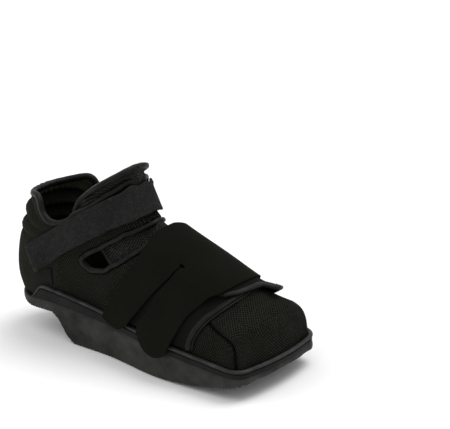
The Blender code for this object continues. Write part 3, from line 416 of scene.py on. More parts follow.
def skin(s, t):
    """Point of the lateral skin at share s and height share t."""
    s, t = np.broadcast_arrays(np.asarray(s, float), np.asarray(t, float))
    knots = STATIONS["s"]
    base, wall, drop, pull, low_bulge, high_bulge = [
        smooth(knots, STATIONS[name], s)
        for name in ("base", "wall", "drop", "pull", "low_bulge", "high_bulge")]
    x, y, out_x, out_y = edge_at(base)
    inset = smooth(SKIN_INSET["share"], SKIN_INSET["inset"], base)
    x = x - out_x * inset
    y = y - out_y * inset
    foot_z = base_top(x) + smooth(SKIN_LIFT["share"], SKIN_LIFT["lift"], base)
    foot = np.stack([x, y, foot_z], -1)
    zero = np.zeros_like(x)

    turn = np.clip(s / SHAFT_SHARE, 0, 1)
    ring = np.stack([ANKLE_MID_X - ANKLE_LONG * np.cos(turn * np.pi),
                     -ANKLE_WIDE * np.sin(turn * np.pi),
                     ANKLE_TOP - ANKLE_DROP * turn ** 4], -1)
    round_back = np.stack([-ANKLE_LONG * np.sin(turn * np.pi),
                           ANKLE_WIDE * np.cos(turn * np.pi), zero], -1)
    along = np.clip(s, SHAFT_SHARE, 1)
    ridge = np.stack([smooth(RIDGE["s"], RIDGE["x"], along), zero,
                      smooth(RIDGE["s"], RIDGE["z"], along)], -1)
    top = np.where((s < SHAFT_SHARE)[..., None], ring, ridge)

    step = 1e-3
    at = np.clip(s, SHAFT_SHARE + step, 1 - step)
    rise_x, rise_z = [
        smooth(RIDGE["s"], RIDGE[name], at - step) - smooth(RIDGE["s"], RIDGE[name], at + step)
        for name in ("x", "z")]
    rise = np.stack([rise_x, zero, rise_z], -1)
    rise /= np.maximum(np.linalg.norm(rise, axis=-1, keepdims=True), 1e-9)
    lean = smooth((SHAFT_SHARE - SHAFT_BLEND, SHAFT_SHARE), (0, 1), s)[..., None]
    rise = rise * lean + np.array([0.0, 0.0, 1.0]) * (1 - lean)

    tall = top[..., 2] - foot_z
    side = np.stack([zero, -np.abs(y), zero], -1)
    side = np.where((s < SHAFT_SHARE)[..., None], round_back, side)
    outward = np.stack([x - top[..., 0], y - top[..., 1], zero], -1)
    front = smooth((0, 0.80, 0.95, 1.0), (0, 0, 1, 1), s)[..., None]
    over = side * (1 - front) + outward * front
    over /= np.maximum(np.linalg.norm(over, axis=-1, keepdims=True), 1e-9)
    shaft = np.clip(drop / 0.050, 0, 1)
    low = foot + np.stack([out_x * low_bulge, out_y * low_bulge, wall * tall], -1)
    high = (top - drop[..., None] * rise + pull[..., None] * over
            + np.stack([out_x * high_bulge * shaft, out_y * high_bulge * shaft, zero], -1))
    t = t[..., None]
    return (1 - t) ** 3 * foot + 3 * (1 - t) ** 2 * t * low + 3 * (1 - t) * t ** 2 * high + t ** 3 * top


def eased_skin(s, t):
    """Skin with the line where the shaft meets the instep rounded over a short reach."""
    point = skin(s, t)
    gap = np.abs(s - SHAFT_SHARE) / SHAFT_EASE
    near = (gap < EASE_REACH) & (t < 1)
    if near.any():
        one, high = s[near], t[near]
        soft = sum(share * skin(one + shift * SHAFT_EASE, high) for shift, share in EASE_SHARES)
        full = smooth((0, SHAFT_EASE_FADE), (0, 1), 1 - high) * np.clip(EASE_REACH - gap[near], 0, 1)
        point[near] += (soft - point[near]) * full[:, None]
    return point


def skin_beyond(s, t):
    """Point of the lateral skin, mirrored where s or t runs past the middle plane."""
    past_ridge = (t > 1) & (s > SHAFT_SHARE)
    turned = (s < 0) ^ (s > 1) ^ past_ridge
    point = eased_skin(np.where(s > 1, 2 - s, np.abs(s)),
                       np.where(past_ridge, 2 - t, np.clip(t, 0, 1)))
    point[..., 1] *= np.where(turned, -1.0, 1.0)
    return point


def skin_frame(s, v):
    """Point on the skin and the direction out of it, lateral up to v = 1 and medial past it."""
    s, v = np.broadcast_arrays(np.asarray(s, float), np.asarray(v, float))
    medial = (v > 1) ^ (s < 0)
    s = np.abs(s)
    t = np.where(v > 1, 2 - v, v)
    below = np.minimum(t, 0)
    t = np.maximum(t, 0)
    step = FRAME_STEP
    point = eased_skin(s, t)
    floor = SHAFT_SHARE + 1e-9 - step * np.clip((1 - t) / SHAFT_EASE_FADE, 0, 1)
    behind = np.where(s > SHAFT_SHARE, np.maximum(s - step, floor), s - step)
    along = skin_beyond(np.maximum(s + step, behind + step), t) - skin_beyond(behind, t)
    upward = skin_beyond(s, t + step) - skin_beyond(s, t - step)
    out = np.cross(along, upward)
    out[..., 1] *= np.abs(point[..., 1]) > 1e-6
    out /= np.maximum(np.linalg.norm(out, axis=-1, keepdims=True), 1e-12)
    point[..., 2] += below * 0.1
    turned = np.where(medial, -1.0, 1.0)
    point[..., 1] *= turned
    out[..., 1] *= turned
    return point, out


def spline(columns, steps=4, closed=False):
    """Smooth line through the rows of a table."""
    rows = np.stack([np.asarray(column, float) for column in columns], 1)
    if closed:
        rows = np.concatenate([rows[-1:], rows, rows[:2]])
    else:
        rows = np.concatenate([2 * rows[:1] - rows[1:2], rows, 2 * rows[-1:] - rows[-2:-1]])
    line = []
    for a, b, c, d in zip(rows[:-3], rows[1:-2], rows[2:-1], rows[3:]):
        for t in np.arange(steps) / steps:
            line.append(0.5 * (2 * b + (c - a) * t + (2 * a - 5 * b + 4 * c - d) * t ** 2
                               + (3 * b - a - 3 * c + d) * t ** 3))
    if not closed:
        line.append(rows[-2])
    return np.array(line)


def table_line(table, steps=16, closed=False):
    """Fine line of shares through a table with columns s and v."""
    return spline((table["s"], table["v"]), steps, closed)


def lengths(points):
    """Running length along a line of points."""
    return np.concatenate([[0], np.cumsum(np.linalg.norm(np.diff(points, axis=0), axis=1))])


def even(line, step, closed=False, scale=None):
    """Line with points at even steps, measured after each column is multiplied by scale."""
    if closed:
        line = np.concatenate([line, line[:1]])
    run = lengths(line * (1 if scale is None else np.asarray(scale)))
    count = max(2, int(round(run[-1] / step)))
    at = np.linspace(0, run[-1], count + 1)
    if closed:
        at = at[:-1]
    return np.stack([np.interp(at, run, line[:, k]) for k in range(line.shape[1])], 1)


def fold_lines():
    """Folds as fine lines of points with their height, reach and fading ends."""
    lines = []
    for fold in FOLDS:
        line = table_line(fold, 6)
        points, _ = skin_frame(line[:, 0], line[:, 1])
        fade = np.sin(np.linspace(0, np.pi, len(points))) ** 0.7
        lines.append((points, fold["high"] * fade, fold["reach"]))
    return lines


FOLD_LINES = fold_lines()


def fold_height(points):
    """Height of the folds and of the cloth's soft unevenness at points of the skin."""
    x, y, z = points.T
    total = CLOTH_UNEVEN * (np.sin(95 * x + 60 * z) * np.sin(83 * y - 40 * x + 1.0)
                            + np.sin(170 * z + 50 * x + 2.0) * np.sin(140 * x - 90 * y + 0.5))
    for line, high, reach in FOLD_LINES:
        low = line.min(0) - 3 * reach
        top = line.max(0) + 3 * reach
        near = np.all((points > low) & (points < top), axis=1)
        if not near.any():
            continue
        gap = np.linalg.norm(points[near, None] - line[None], axis=2)
        best = gap.argmin(1)
        gap = gap[np.arange(len(best)), best]
        total[near] += high[best] * np.exp(-(gap / reach) ** 2)
    return total


def seam_height(points):
    """Groove of the toe box side seam, with the front panel standing over the side panel."""
    line = even(table_line(TOE_SEAM, 8), 0.001, scale=(SHEET_LONG, SHEET_TALL))
    line, _ = skin_frame(line[:, 0], line[:, 1])
    total = np.zeros(len(points))
    low = line.min(0) - 0.02
    top = line.max(0) + 0.02
    near = np.flatnonzero(np.all((points > low) & (points < top), axis=1))
    if len(near) == 0:
        return total
    gap = np.linalg.norm(points[near, None] - line[None], axis=2)
    best = gap.argmin(1)
    gap = gap[np.arange(len(best)), best]
    run = np.gradient(line, axis=0)[best]
    ahead = points[near] - line[best]
    front = np.sign(run[:, 0] * ahead[:, 1] - run[:, 1] * ahead[:, 0])
    total[near] = (-SEAM_DEEP * np.exp(-(gap / SEAM_REACH) ** 2)
                   + SEAM_STEP * np.where(front > 0, 1.0, SEAM_LOW_SIDE)
                   * np.exp(-(gap / SEAM_STEP_REACH) ** 2))
    return total


def flat_prism(name, line):
    """Prism over a closed line of shares."""
    bm = bmesh.new()
    ring = [bm.verts.new((s * SHEET_LONG, v * SHEET_TALL, -0.01)) for s, v in line]
    bm.faces.new(ring)
    grown = bmesh.ops.extrude_face_region(bm, geom=bm.faces[:])
    moved = [item for item in grown["geom"] if isinstance(item, bmesh.types.BMVert)]
    bmesh.ops.translate(bm, verts=moved, vec=(0, 0, 0.02))
    bmesh.ops.recalc_face_normals(bm, faces=bm.faces)
    mesh = bpy.data.meshes.new(name)
    bm.to_mesh(mesh)
    bm.free()
    item = bpy.data.objects.new(name, mesh)
    bpy.context.scene.collection.objects.link(item)
    return item


def pattern_piece(name, line, away=()):
    """Flat face inside a closed line of shares, with the areas of other lines cut away."""
    sheet = flat_prism(name, line)
    cutters = [flat_prism(name + "_cut", other) for other in away]
    for cutter in cutters:
        modifier = sheet.modifiers.new("cut", "BOOLEAN")
        modifier.operation = "DIFFERENCE"
        modifier.solver = "EXACT"
        modifier.object = cutter
    graph = bpy.context.evaluated_depsgraph_get()
    mesh = bpy.data.meshes.new_from_object(sheet.evaluated_get(graph))
    bm = bmesh.new()
    bm.from_mesh(mesh)
    for item in (sheet, *cutters):
        bpy.data.objects.remove(item, do_unlink=True)
    rest = [face for face in bm.faces if face.normal.z < 0.5]
    bmesh.ops.delete(bm, geom=rest, context="FACES")
    bmesh.ops.remove_doubles(bm, verts=bm.verts, dist=0.0003)
    for vertex in bm.verts:
        vertex.co.z = 0
    return bm


def sliced(bm, faces, axis, places):
    """Cut faces at planes across an axis, the middle plane first."""
    if not len(places) or not faces:
        return
    middle = len(places) // 2
    place = [0.0, 0.0, 0.0]
    normal = [0.0, 0.0, 0.0]
    place[axis] = places[middle]
    normal[axis] = 1.0
    edges = list(dict.fromkeys(edge for face in faces for edge in face.edges))
    verts = list(dict.fromkeys(vertex for face in faces for vertex in face.verts))
    cut = bmesh.ops.bisect_plane(bm, geom=[*verts, *edges, *faces], dist=1e-6,
                                 plane_co=place, plane_no=normal)
    parts = [item for item in cut["geom"] if isinstance(item, bmesh.types.BMFace)]
    before = []
    after = []
    for face in parts:
        side = before if face.calc_center_median()[axis] < places[middle] else after
        side.append(face)
    sliced(bm, before, axis, places[:middle])
    sliced(bm, after, axis, places[middle + 1:])


def gridded(bm, step_s, step_v):
    """Rings along the edge of a flat piece and a grid of cells over the rest."""
    core = bm.faces[:]
    for width in EDGE_RINGS:
        bmesh.ops.inset_region(bm, faces=core, thickness=width, use_even_offset=False,
                               use_boundary=True)
    low = np.min([vertex.co[:] for vertex in bm.verts], axis=0)
    high = np.max([vertex.co[:] for vertex in bm.verts], axis=0)
    for axis, step in ((1, step_v), (0, step_s)):
        sliced(bm, bm.faces[:], axis, np.arange(low[axis] + step, high[axis] - step / 4, step))
    bmesh.ops.remove_doubles(bm, verts=bm.verts, dist=0.00003)
    many = [face for face in bm.faces if len(face.verts) > 4]
    bmesh.ops.triangulate(bm, faces=many, quad_method="BEAUTY", ngon_method="BEAUTY")
    return bm


def on_seam(vertex):
    """True on the lines where the lateral half meets its mirrored twin."""
    s = vertex.co.x / SHEET_LONG
    v = vertex.co.y / SHEET_TALL
    return s < 1e-5 or s > 1 - 1e-5 or v > 1 - 1e-5


def two_faced(bm, halved):
    """Add the inner face of a flat piece, joined to the outer one along its free edge."""
    free = [vertex for vertex in bm.verts
            if vertex.is_boundary and any(edge.is_boundary and not (
                halved and all(on_seam(end) for end in edge.verts)) for edge in vertex.link_edges)]
    for vertex in bm.verts:
        vertex.co.z = 1
    for vertex in free:
        vertex.co.z = 0
    twin = bmesh.ops.duplicate(bm, geom=bm.verts[:] + bm.edges[:] + bm.faces[:])
    for item in twin["geom"]:
        if isinstance(item, bmesh.types.BMVert):
            item.co.z = -item.co.z
    bmesh.ops.reverse_faces(
        bm, faces=[item for item in twin["geom"] if isinstance(item, bmesh.types.BMFace)])
    bmesh.ops.remove_doubles(bm, verts=bm.verts, dist=1e-6)
    return bm


def edge_reach(points, line):
    """Distance of each point from a line of points, and the run along the line there."""
    tree = KDTree(len(line))
    for i, place in enumerate(line):
        tree.insert(place, i)
    tree.balance()
    near = np.array([tree.find(point)[1] for point in points])
    run = lengths(line)
    best = np.full(len(points), 1e9)
    where = np.zeros(len(points))
    for side in (-1, 0):
        i = np.clip(near + side, 0, len(line) - 2)
        a = line[i]
        d = line[i + 1] - a
        t = np.clip(((points - a) * d).sum(1) / np.maximum((d * d).sum(1), 1e-15), 0, 1)
        gap = np.linalg.norm(points - a - d * t[:, None], axis=1)
        better = gap < best
        best = np.where(better, gap, best)
        where = np.where(better, run[i] + t * (run[i + 1] - run[i]), where)
    return best, where


# direction down the front of the ankle, along which the tongue's mesh runs
TONGUE_RUN = (0.68, 0.0, -0.73)


def wall_cloth(point, s):
    """Place on the cloth of a wall: the run round the sole and the height."""
    return np.stack([s * FINE_ARC[-1], point[:, 2]], 1)


def tongue_cloth(point, s):
    """Place on the cloth of the tongue, down its front and across it."""
    return np.stack([point @ np.array(TONGUE_RUN), point[:, 1]], 1)


def lay(bm, inner, thick, edges, round_edge, seam=False, bulge=None, cloth_place=wall_cloth):
    """Lay a two faced flat piece on the skin. inner is a height function of s and v.

    Each vertex keeps its distance from the free edge, the run along it and its place on the
    flat cloth as attributes.
    """
    flat = np.array([vertex.co[:] for vertex in bm.verts])
    s = flat[:, 0] / SHEET_LONG
    v = flat[:, 1] / SHEET_TALL
    side = np.round(flat[:, 2])
    point, out = skin_frame(np.clip(s, 0, 1), v)
    gap = np.full(len(s), 1e9)
    run = np.zeros(len(s))
    for line in edges:
        rim, _ = skin_frame(np.clip(line[:, 0], 0, 1), line[:, 1])
        one, along = edge_reach(point, rim)
        run = np.where(one < gap, along, run)
        gap = np.minimum(one, gap)
    full = np.sqrt(1 - (1 - np.clip(gap / round_edge, 0, 1)) ** 2)
    full = np.where(side == 0, 0.0, np.maximum(full, 0.12))
    h = inner(s, v) + thick / 2 + side * full * thick / 2
    if bulge is not None:
        h = h + bulge(gap, run) * (side > 0)
    lift = fold_height(point) * np.clip(v / 0.10, 0, 1)
    if seam:
        lift = lift + seam_height(point) * (side > 0)
    place = point + out * (h + lift)[:, None] - MIDDLE
    cloth = cloth_place(point, s)
    edge_layer = bm.verts.layers.float_vector.new("edge")
    cloth_layer = bm.verts.layers.float_vector.new("cloth")
    for i, vertex in enumerate(bm.verts):
        vertex.co = place[i]
        vertex[edge_layer] = (run[i], gap[i], 0)
        vertex[cloth_layer] = (*cloth[i], 0)
    return bm


def whole_from_half(bm):
    """Mirror the lateral half over the middle plane and weld it."""
    twin = bmesh.ops.duplicate(bm, geom=bm.verts[:] + bm.edges[:] + bm.faces[:])
    moved = [item for item in twin["geom"] if isinstance(item, bmesh.types.BMVert)]
    turned = [item for item in twin["geom"] if isinstance(item, bmesh.types.BMFace)]
    for vertex in moved:
        vertex.co.y = -2 * MIDDLE[1] - vertex.co.y
    bmesh.ops.reverse_faces(bm, faces=turned)
    bmesh.ops.remove_doubles(bm, verts=bm.verts, dist=0.00001)
    return bm


def level(value):
    """Height function with one value everywhere."""
    return lambda s, v: np.full_like(s, value)


def rise(table, extra=0.0):
    """Height function that follows v."""
    return lambda s, v: smooth(table["v"], table["h"], v) + extra


def loft(points, along=None, round_run=None):
    """Grid of faces through an array of points, one row of points for each section.

    along and round_run give each vertex its run along the piece and round its section.
    """
    long = points.shape[0] - 1
    across = points.shape[1] - 1
    bm = bmesh.new()
    layer = bm.verts.layers.float_vector.new("edge")
    grid = bmesh.ops.create_grid(bm, x_segments=long, y_segments=across, size=0.5)
    for vertex in grid["verts"]:
        i = round((vertex.co.x + 0.5) * long)
        j = round((vertex.co.y + 0.5) * across)
        vertex.co = points[i, j]
        if along is not None:
            vertex[layer] = (along[i], round_run[j], 0)
    return bm


def close_up(bm):
    """Weld touching borders and fill the holes that are left."""
    bmesh.ops.remove_doubles(bm, verts=bm.verts, dist=0.000002)
    rim = [edge for edge in bm.edges if edge.is_boundary]
    if rim:
        bmesh.ops.holes_fill(bm, edges=rim, sides=0)
    return bm


def piece(name, bm, *materials):
    """Object from a bmesh, smooth and facing outwards, riding on the shoe."""
    bmesh.ops.recalc_face_normals(bm, faces=bm.faces)
    if bm.calc_volume(signed=True) < 0:
        bmesh.ops.reverse_faces(bm, faces=bm.faces)
    for face in bm.faces:
        face.smooth = True
    mesh = bpy.data.meshes.new(name)
    bm.to_mesh(mesh)
    bm.free()
    item = bpy.data.objects.new(name, mesh)
    bpy.context.scene.collection.objects.link(item)
    for material in materials:
        mesh.materials.append(material)
    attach(item, "root")
    return item


def section(wide, tall, square, steps):
    """Closed rounded section, as two columns of offsets."""
    turn = np.linspace(0, 2 * np.pi, steps + 1)
    across = np.sign(np.cos(turn)) * np.abs(np.cos(turn)) ** square * wide / 2
    height = np.sign(np.sin(turn)) * np.abs(np.sin(turn)) ** square * tall / 2
    return across, height


def beside(line, lift, away_shift, closed=False, extra=None):
    """Line of points over the skin beside a line of shares, with the directions out and away."""
    edge, out = skin_frame(line[:, 0], line[:, 1])
    if closed:
        run = np.roll(edge, -1, 0) - np.roll(edge, 1, 0)
    else:
        run = np.gradient(edge, axis=0)
    run /= np.linalg.norm(run, axis=1, keepdims=True)
    away = np.cross(run, out)
    away /= np.linalg.norm(away, axis=1, keepdims=True)
    raised = lift + fold_height(edge)
    if extra is not None:
        raised = raised + extra(line[:, 0], line[:, 1])
    return edge + out * raised[:, None] + away * away_shift, out, away


def soft_strip(line, wide, tall, lift, away_shift, steps=14, closed=False, pucker=0.0,
               square=0.8, ends=0.0, extra=None):
    """Rolled strip of cloth along a line of shares. wide lies across the wall, tall along it."""
    centre, out, away = beside(line, lift, away_shift, closed, extra)
    across, height = section(wide, tall, square, steps)
    along = lengths(centre)
    swell = 1 + pucker * np.sin(along / 0.0021) * np.sin(along / 0.0093 + 1)
    if ends:
        tip = np.minimum(along, along[-1] - along) / ends
        swell = swell * np.sqrt(1 - (1 - np.clip(tip, 0.04, 1)) ** 2)
    swell = swell[:, None, None]
    rows = (centre[:, None] + (out[:, None] * across[None, :, None]
            + away[:, None] * height[None, :, None]) * swell) - MIDDLE
    if closed:
        rows = np.concatenate([rows, rows[:1]])
        along = np.append(along, along[-1] + np.linalg.norm(centre[0] - centre[-1]))
    round_run = lengths(np.stack([across, height], 1))
    return close_up(loft(rows, along, round_run))


def bead_between(bm, start, end, thick):
    """Small rounded thread from one point to another."""
    run = Vector(end) - Vector(start)
    turned = run.to_track_quat("X", "Z").to_matrix().to_4x4()
    size = Matrix.Diagonal((run.length / 2 * 1.05, thick / 2, thick / 2, 1))
    middle = Matrix.Translation((Vector(start) + Vector(end)) / 2)
    bmesh.ops.create_icosphere(bm, subdivisions=1, radius=1, matrix=middle @ turned @ size)


def stitched(name, slot, material, *rows, pitch=0.0028, share=0.62, thick=0.0006):
    """Rows of short stitches along lines of points."""
    bm = bmesh.new()
    for row in rows:
        row = even(row - MIDDLE, pitch / 2)
        for i in range(0, len(row) - 1, 2):
            bead_between(bm, row[i], row[i] + (row[i + 1] - row[i]) * 2 * share, thick)
    item = piece(name, bm, material)
    return item


def links(tree, target, value):
    """Give a node's input a value, or join another node's output to it."""
    if isinstance(value, bpy.types.NodeSocket):
        tree.links.new(value, target)
    else:
        target.default_value = value


def node(tree, kind, inputs=(), **settings):
    """New shader node with its settings and its inputs by name or number."""
    made = tree.nodes.new(kind)
    for key, value in settings.items():
        setattr(made, key, value)
    for key, value in dict(inputs).items():
        links(tree, made.inputs[key], value)
    return made


def sums(tree, kind, *values, clamp=False):
    """Output of a Math node."""
    made = node(tree, "ShaderNodeMath", dict(enumerate(values)), operation=kind, use_clamp=clamp)
    return made.outputs[0]


def place_on(tree, name, scale=(1, 1, 1), turn=0.0):
    """Place of a pattern: the piece's own attribute, or the object's coordinates."""
    if name == "object":
        source = node(tree, "ShaderNodeTexCoord").outputs["Object"]
    else:
        source = node(tree, "ShaderNodeAttribute", attribute_name=name).outputs["Vector"]
    made = node(tree, "ShaderNodeMapping", {"Vector": source, "Scale": scale,
                                            "Rotation": (0, 0, turn)})
    return made.outputs[0]


def speckle(tree, place, scale, detail=2.0, rough=0.5):
    """Noise from 0 to 1."""
    made = node(tree, "ShaderNodeTexNoise", {"Vector": place, "Scale": scale, "Detail": detail,
                                             "Roughness": rough})
    return made.outputs["Fac"]


def between(tree, fac, low, high, out_low=0.0, out_high=1.0):
    """Stretch a value from one span to another, held at the ends."""
    made = node(tree, "ShaderNodeMapRange", {"Value": fac, "From Min": low, "From Max": high,
                                             "To Min": out_low, "To Max": out_high})
    return made.outputs[0]


def blend_colour(tree, fac, dark, light):
    """Colour between two colours."""
    made = node(tree, "ShaderNodeMix", {"Factor": fac}, data_type="RGBA")
    links(tree, made.inputs[6], dark if isinstance(dark, bpy.types.NodeSocket) else (*dark, 1))
    links(tree, made.inputs[7], light if isinstance(light, bpy.types.NodeSocket) else (*light, 1))
    return made.outputs[2]


def finish_of(name, roughness, specular, sheen=0.0, coat=0.0, coat_roughness=0.3):
    """New material with the values that are the same all over it."""
    material = bpy.data.materials.new(name)
    material.use_nodes = True
    tree = material.node_tree
    shader = tree.nodes["Principled BSDF"]
    shader.inputs["Roughness"].default_value = roughness
    shader.inputs["Specular IOR Level"].default_value = specular
    shader.inputs["Sheen Weight"].default_value = sheen
    shader.inputs["Sheen Roughness"].default_value = 0.5
    shader.inputs["Coat Weight"].default_value = coat
    shader.inputs["Coat Roughness"].default_value = coat_roughness
    return material, tree, shader


def surface(tree, shader, colour, height=None, depth=0.0, roughness=None):
    """Join a colour, a relief of a depth in metres and a roughness to the shader."""
    links(tree, shader.inputs["Base Color"], colour)
    if roughness is not None:
        links(tree, shader.inputs["Roughness"], roughness)
    if height is not None:
        relief = node(tree, "ShaderNodeBump", {"Height": height, "Distance": depth,
                                               "Strength": 1.0})
        links(tree, shader.inputs["Normal"], relief.outputs[0])


def mesh_holes(tree, place, pitch):
    """Round holes of a knitted mesh in staggered rows: 1 on the yarn, 0 in a hole."""
    made = node(tree, "ShaderNodeTexVoronoi", {"Vector": place, "Scale": 1 / pitch,
                                               "Randomness": HOLE_SCATTER},
                voronoi_dimensions="2D", feature="F1", distance="EUCLIDEAN")
    return between(tree, made.outputs["Distance"], *HOLE_EDGE)


def spacer_mesh(name, yarn, hole, pitch, depth=0.00035, flat_top=False):
    """Knitted mesh cloth with rows of small holes. With flat_top it lies flat over the top, and
    its holes are nearly filled at the heel.
    """
    material, tree, shader = finish_of(name, 0.9, 0.05)
    here = place_on(tree, "object")
    holes = mesh_holes(tree, place_on(tree, "cloth", turn=math.radians(45)), pitch)
    if flat_top:
        over = mesh_holes(tree, place_on(tree, "object", turn=math.radians(45)), pitch)
        facing = node(tree, "ShaderNodeNewGeometry").outputs["Normal"]
        up = node(tree, "ShaderNodeSeparateXYZ", {0: facing}).outputs[2]
        top = between(tree, up, *TOP_FACING)
        holes = sums(tree, "ADD", sums(tree, "MULTIPLY", over, top),
                     sums(tree, "MULTIPLY", holes, sums(tree, "SUBTRACT", 1.0, top)))
        run = node(tree, "ShaderNodeSeparateXYZ", {0: place_on(tree, "cloth")}).outputs[0]
        plain = between(tree, run, HEEL_CLOTH_TO - 0.002, HEEL_CLOTH_TO, HEEL_FILL, 0.0)
        holes = sums(tree, "MAXIMUM", holes, plain)
    patch = speckle(tree, here, 55, 3)
    glint = between(tree, speckle(tree, here, 1500, 1), 0.64, 0.78)
    knit = blend_colour(tree, between(tree, patch, 0.35, 0.65), [0.72 * c for c in yarn], yarn)
    knit = blend_colour(tree, glint, knit, [3.0 * c for c in yarn])
    surface(tree, shader, blend_colour(tree, holes, hole, knit), holes, depth)
    return material


def smooth_cloth(name, dark, light, grain=900, depth=0.00008, specular=0.04, roughness=0.85):
    """Plain stretch cloth with a fine nap and faint cloudy tone."""
    material, tree, shader = finish_of(name, roughness, specular)
    here = place_on(tree, "object")
    cloudy = speckle(tree, here, 28, 4)
    nap = speckle(tree, here, grain, 2)
    tone = sums(tree, "ADD", sums(tree, "MULTIPLY", cloudy, 0.7), sums(tree, "MULTIPLY", nap, 0.5))
    surface(tree, shader, blend_colour(tree, between(tree, tone, 0.35, 0.85), dark, light), nap, depth)
    return material


def pile_webbing():
    """Grey loop webbing of the ankle strap; its pale cut end is the separate strap_end piece."""
    material, tree, shader = finish_of("pile_webbing", 0.95, 0.06)
    here = place_on(tree, "object")
    fine = speckle(tree, here, 1300, 2, 0.7)
    coarse = speckle(tree, here, 240, 3)
    cloud = speckle(tree, here, 26, 3)
    tone = sums(tree, "ADD", sums(tree, "MULTIPLY", fine, 0.9), sums(tree, "MULTIPLY", coarse, 0.35))
    tone = sums(tree, "ADD", tone, sums(tree, "MULTIPLY", cloud, 0.25))
    colour = blend_colour(tree, between(tree, tone, 0.55, 1.05), (0.0060, 0.0060, 0.0059),
                          (0.026, 0.026, 0.0255))
    glint = between(tree, speckle(tree, here, 1700, 1), 0.62, 0.74)
    colour = blend_colour(tree, glint, colour, (0.048, 0.048, 0.047))
    surface(tree, shader, colour, tone, 0.00030)
    return material


def satin_tape(name, dark, light, roughness=0.42, specular=0.16):
    """Woven binding tape with a soft shine, fine ribs across it and a painted sheen on its raised
    patches.
    """
    material, tree, shader = finish_of(name, roughness, specular)
    ribs = node(tree, "ShaderNodeTexWave", {"Vector": place_on(tree, "edge"), "Scale": 420.0,
                                            "Distortion": 2.0, "Detail": 2.0},
                bands_direction="X").outputs["Fac"]
    # painted sheen: blotchy tone that is lighter where the same noise raises the relief, so the raised
    # patches look lit
    raised_sheen = speckle(tree, place_on(tree, "object"), 120, 3)
    surface(tree, shader, blend_colour(tree, between(tree, raised_sheen, 0.3, 0.7), dark, light),
            sums(tree, "ADD", sums(tree, "MULTIPLY", ribs, 0.10), raised_sheen), 0.00010)
    return material


def marbled_rubber():
    """Dark grey moulded rubber with cloudy lighter marks and a fine grain."""
    material, tree, shader = finish_of("marbled_rubber", 0.66, 0.16)
    here = place_on(tree, "object")
    clouds = speckle(tree, place_on(tree, "object", (1.0, 1.0, 1.5)), 48, 5, 0.62)
    patches = speckle(tree, here, 17, 2)
    grain = speckle(tree, here, 1100, 2, 0.7)
    tone = sums(tree, "ADD", sums(tree, "MULTIPLY", clouds, 0.85), sums(tree, "MULTIPLY", patches, 0.35))
    tone = sums(tree, "ADD", tone, sums(tree, "MULTIPLY", grain, 0.22))
    colour = blend_colour(tree, between(tree, tone, 0.52, 0.92), (0.0085, 0.0085, 0.0076),
                          (0.032, 0.032, 0.029))
    surface(tree, shader, colour, grain, 0.00012, between(tree, clouds, 0.3, 0.7, 0.70, 0.52))
    return material


def hatched_rubber():
    """Strip under the rim with fine slanting ribs, with painted shade in the troughs between them."""
    material, tree, shader = finish_of("hatched_rubber", 0.6, 0.12)
    slant = place_on(tree, "edge", turn=math.radians(-52))
    ribs = node(tree, "ShaderNodeTexWave", {"Vector": slant, "Scale": 150.0, "Distortion": 0.6},
                bands_direction="X").outputs["Fac"]
    cloud = speckle(tree, place_on(tree, "object"), 60, 4)
    colour = blend_colour(tree, between(tree, cloud, 0.35, 0.65), (0.0050, 0.0050, 0.0047),
                          (0.0130, 0.0130, 0.0125))
    # the troughs between the ribs are painted darker: painted shade in the grooves
    colour = blend_colour(tree, between(tree, ribs, 0.1, 0.7), (0.0026, 0.0026, 0.0025), colour)
    surface(tree, shader, colour, ribs, 0.00025)
    return material


def rim_rubber():
    """Smoother and shinier rolled edge of the cup."""
    material, tree, shader = finish_of("rim_rubber", 0.46, 0.22)
    cloud = speckle(tree, place_on(tree, "object"), 90, 4)
    grain = speckle(tree, place_on(tree, "object"), 900, 2)
    colour = blend_colour(tree, between(tree, cloud, 0.35, 0.68), (0.0064, 0.0066, 0.0066),
                          (0.027, 0.028, 0.027))
    surface(tree, shader, colour, grain, 0.00006, between(tree, cloud, 0.3, 0.7, 0.5, 0.34))
    return material


def thread_and_shadow_strip(name, colour):
    """Sewing thread, and also the dark strip of painted shadow in the toe seam."""
    material, tree, shader = finish_of(name, 0.8, 0.04)
    twist = speckle(tree, place_on(tree, "object"), 1800, 1)
    surface(tree, shader, blend_colour(tree, twist, [0.6 * c for c in colour], colour), twist, 0.0001)
    return material


def outer_ring(x, y, out_x, out_y, inset, z):
    """Closed ring of points round the whole sole from the lateral half."""
    half = np.stack([x - out_x * inset, y - out_y * inset, z], 1)
    half[0, 1] = 0
    half[-1, 1] = 0
    return np.concatenate([half, half[::-1][1:] * [1, -1, 1]])


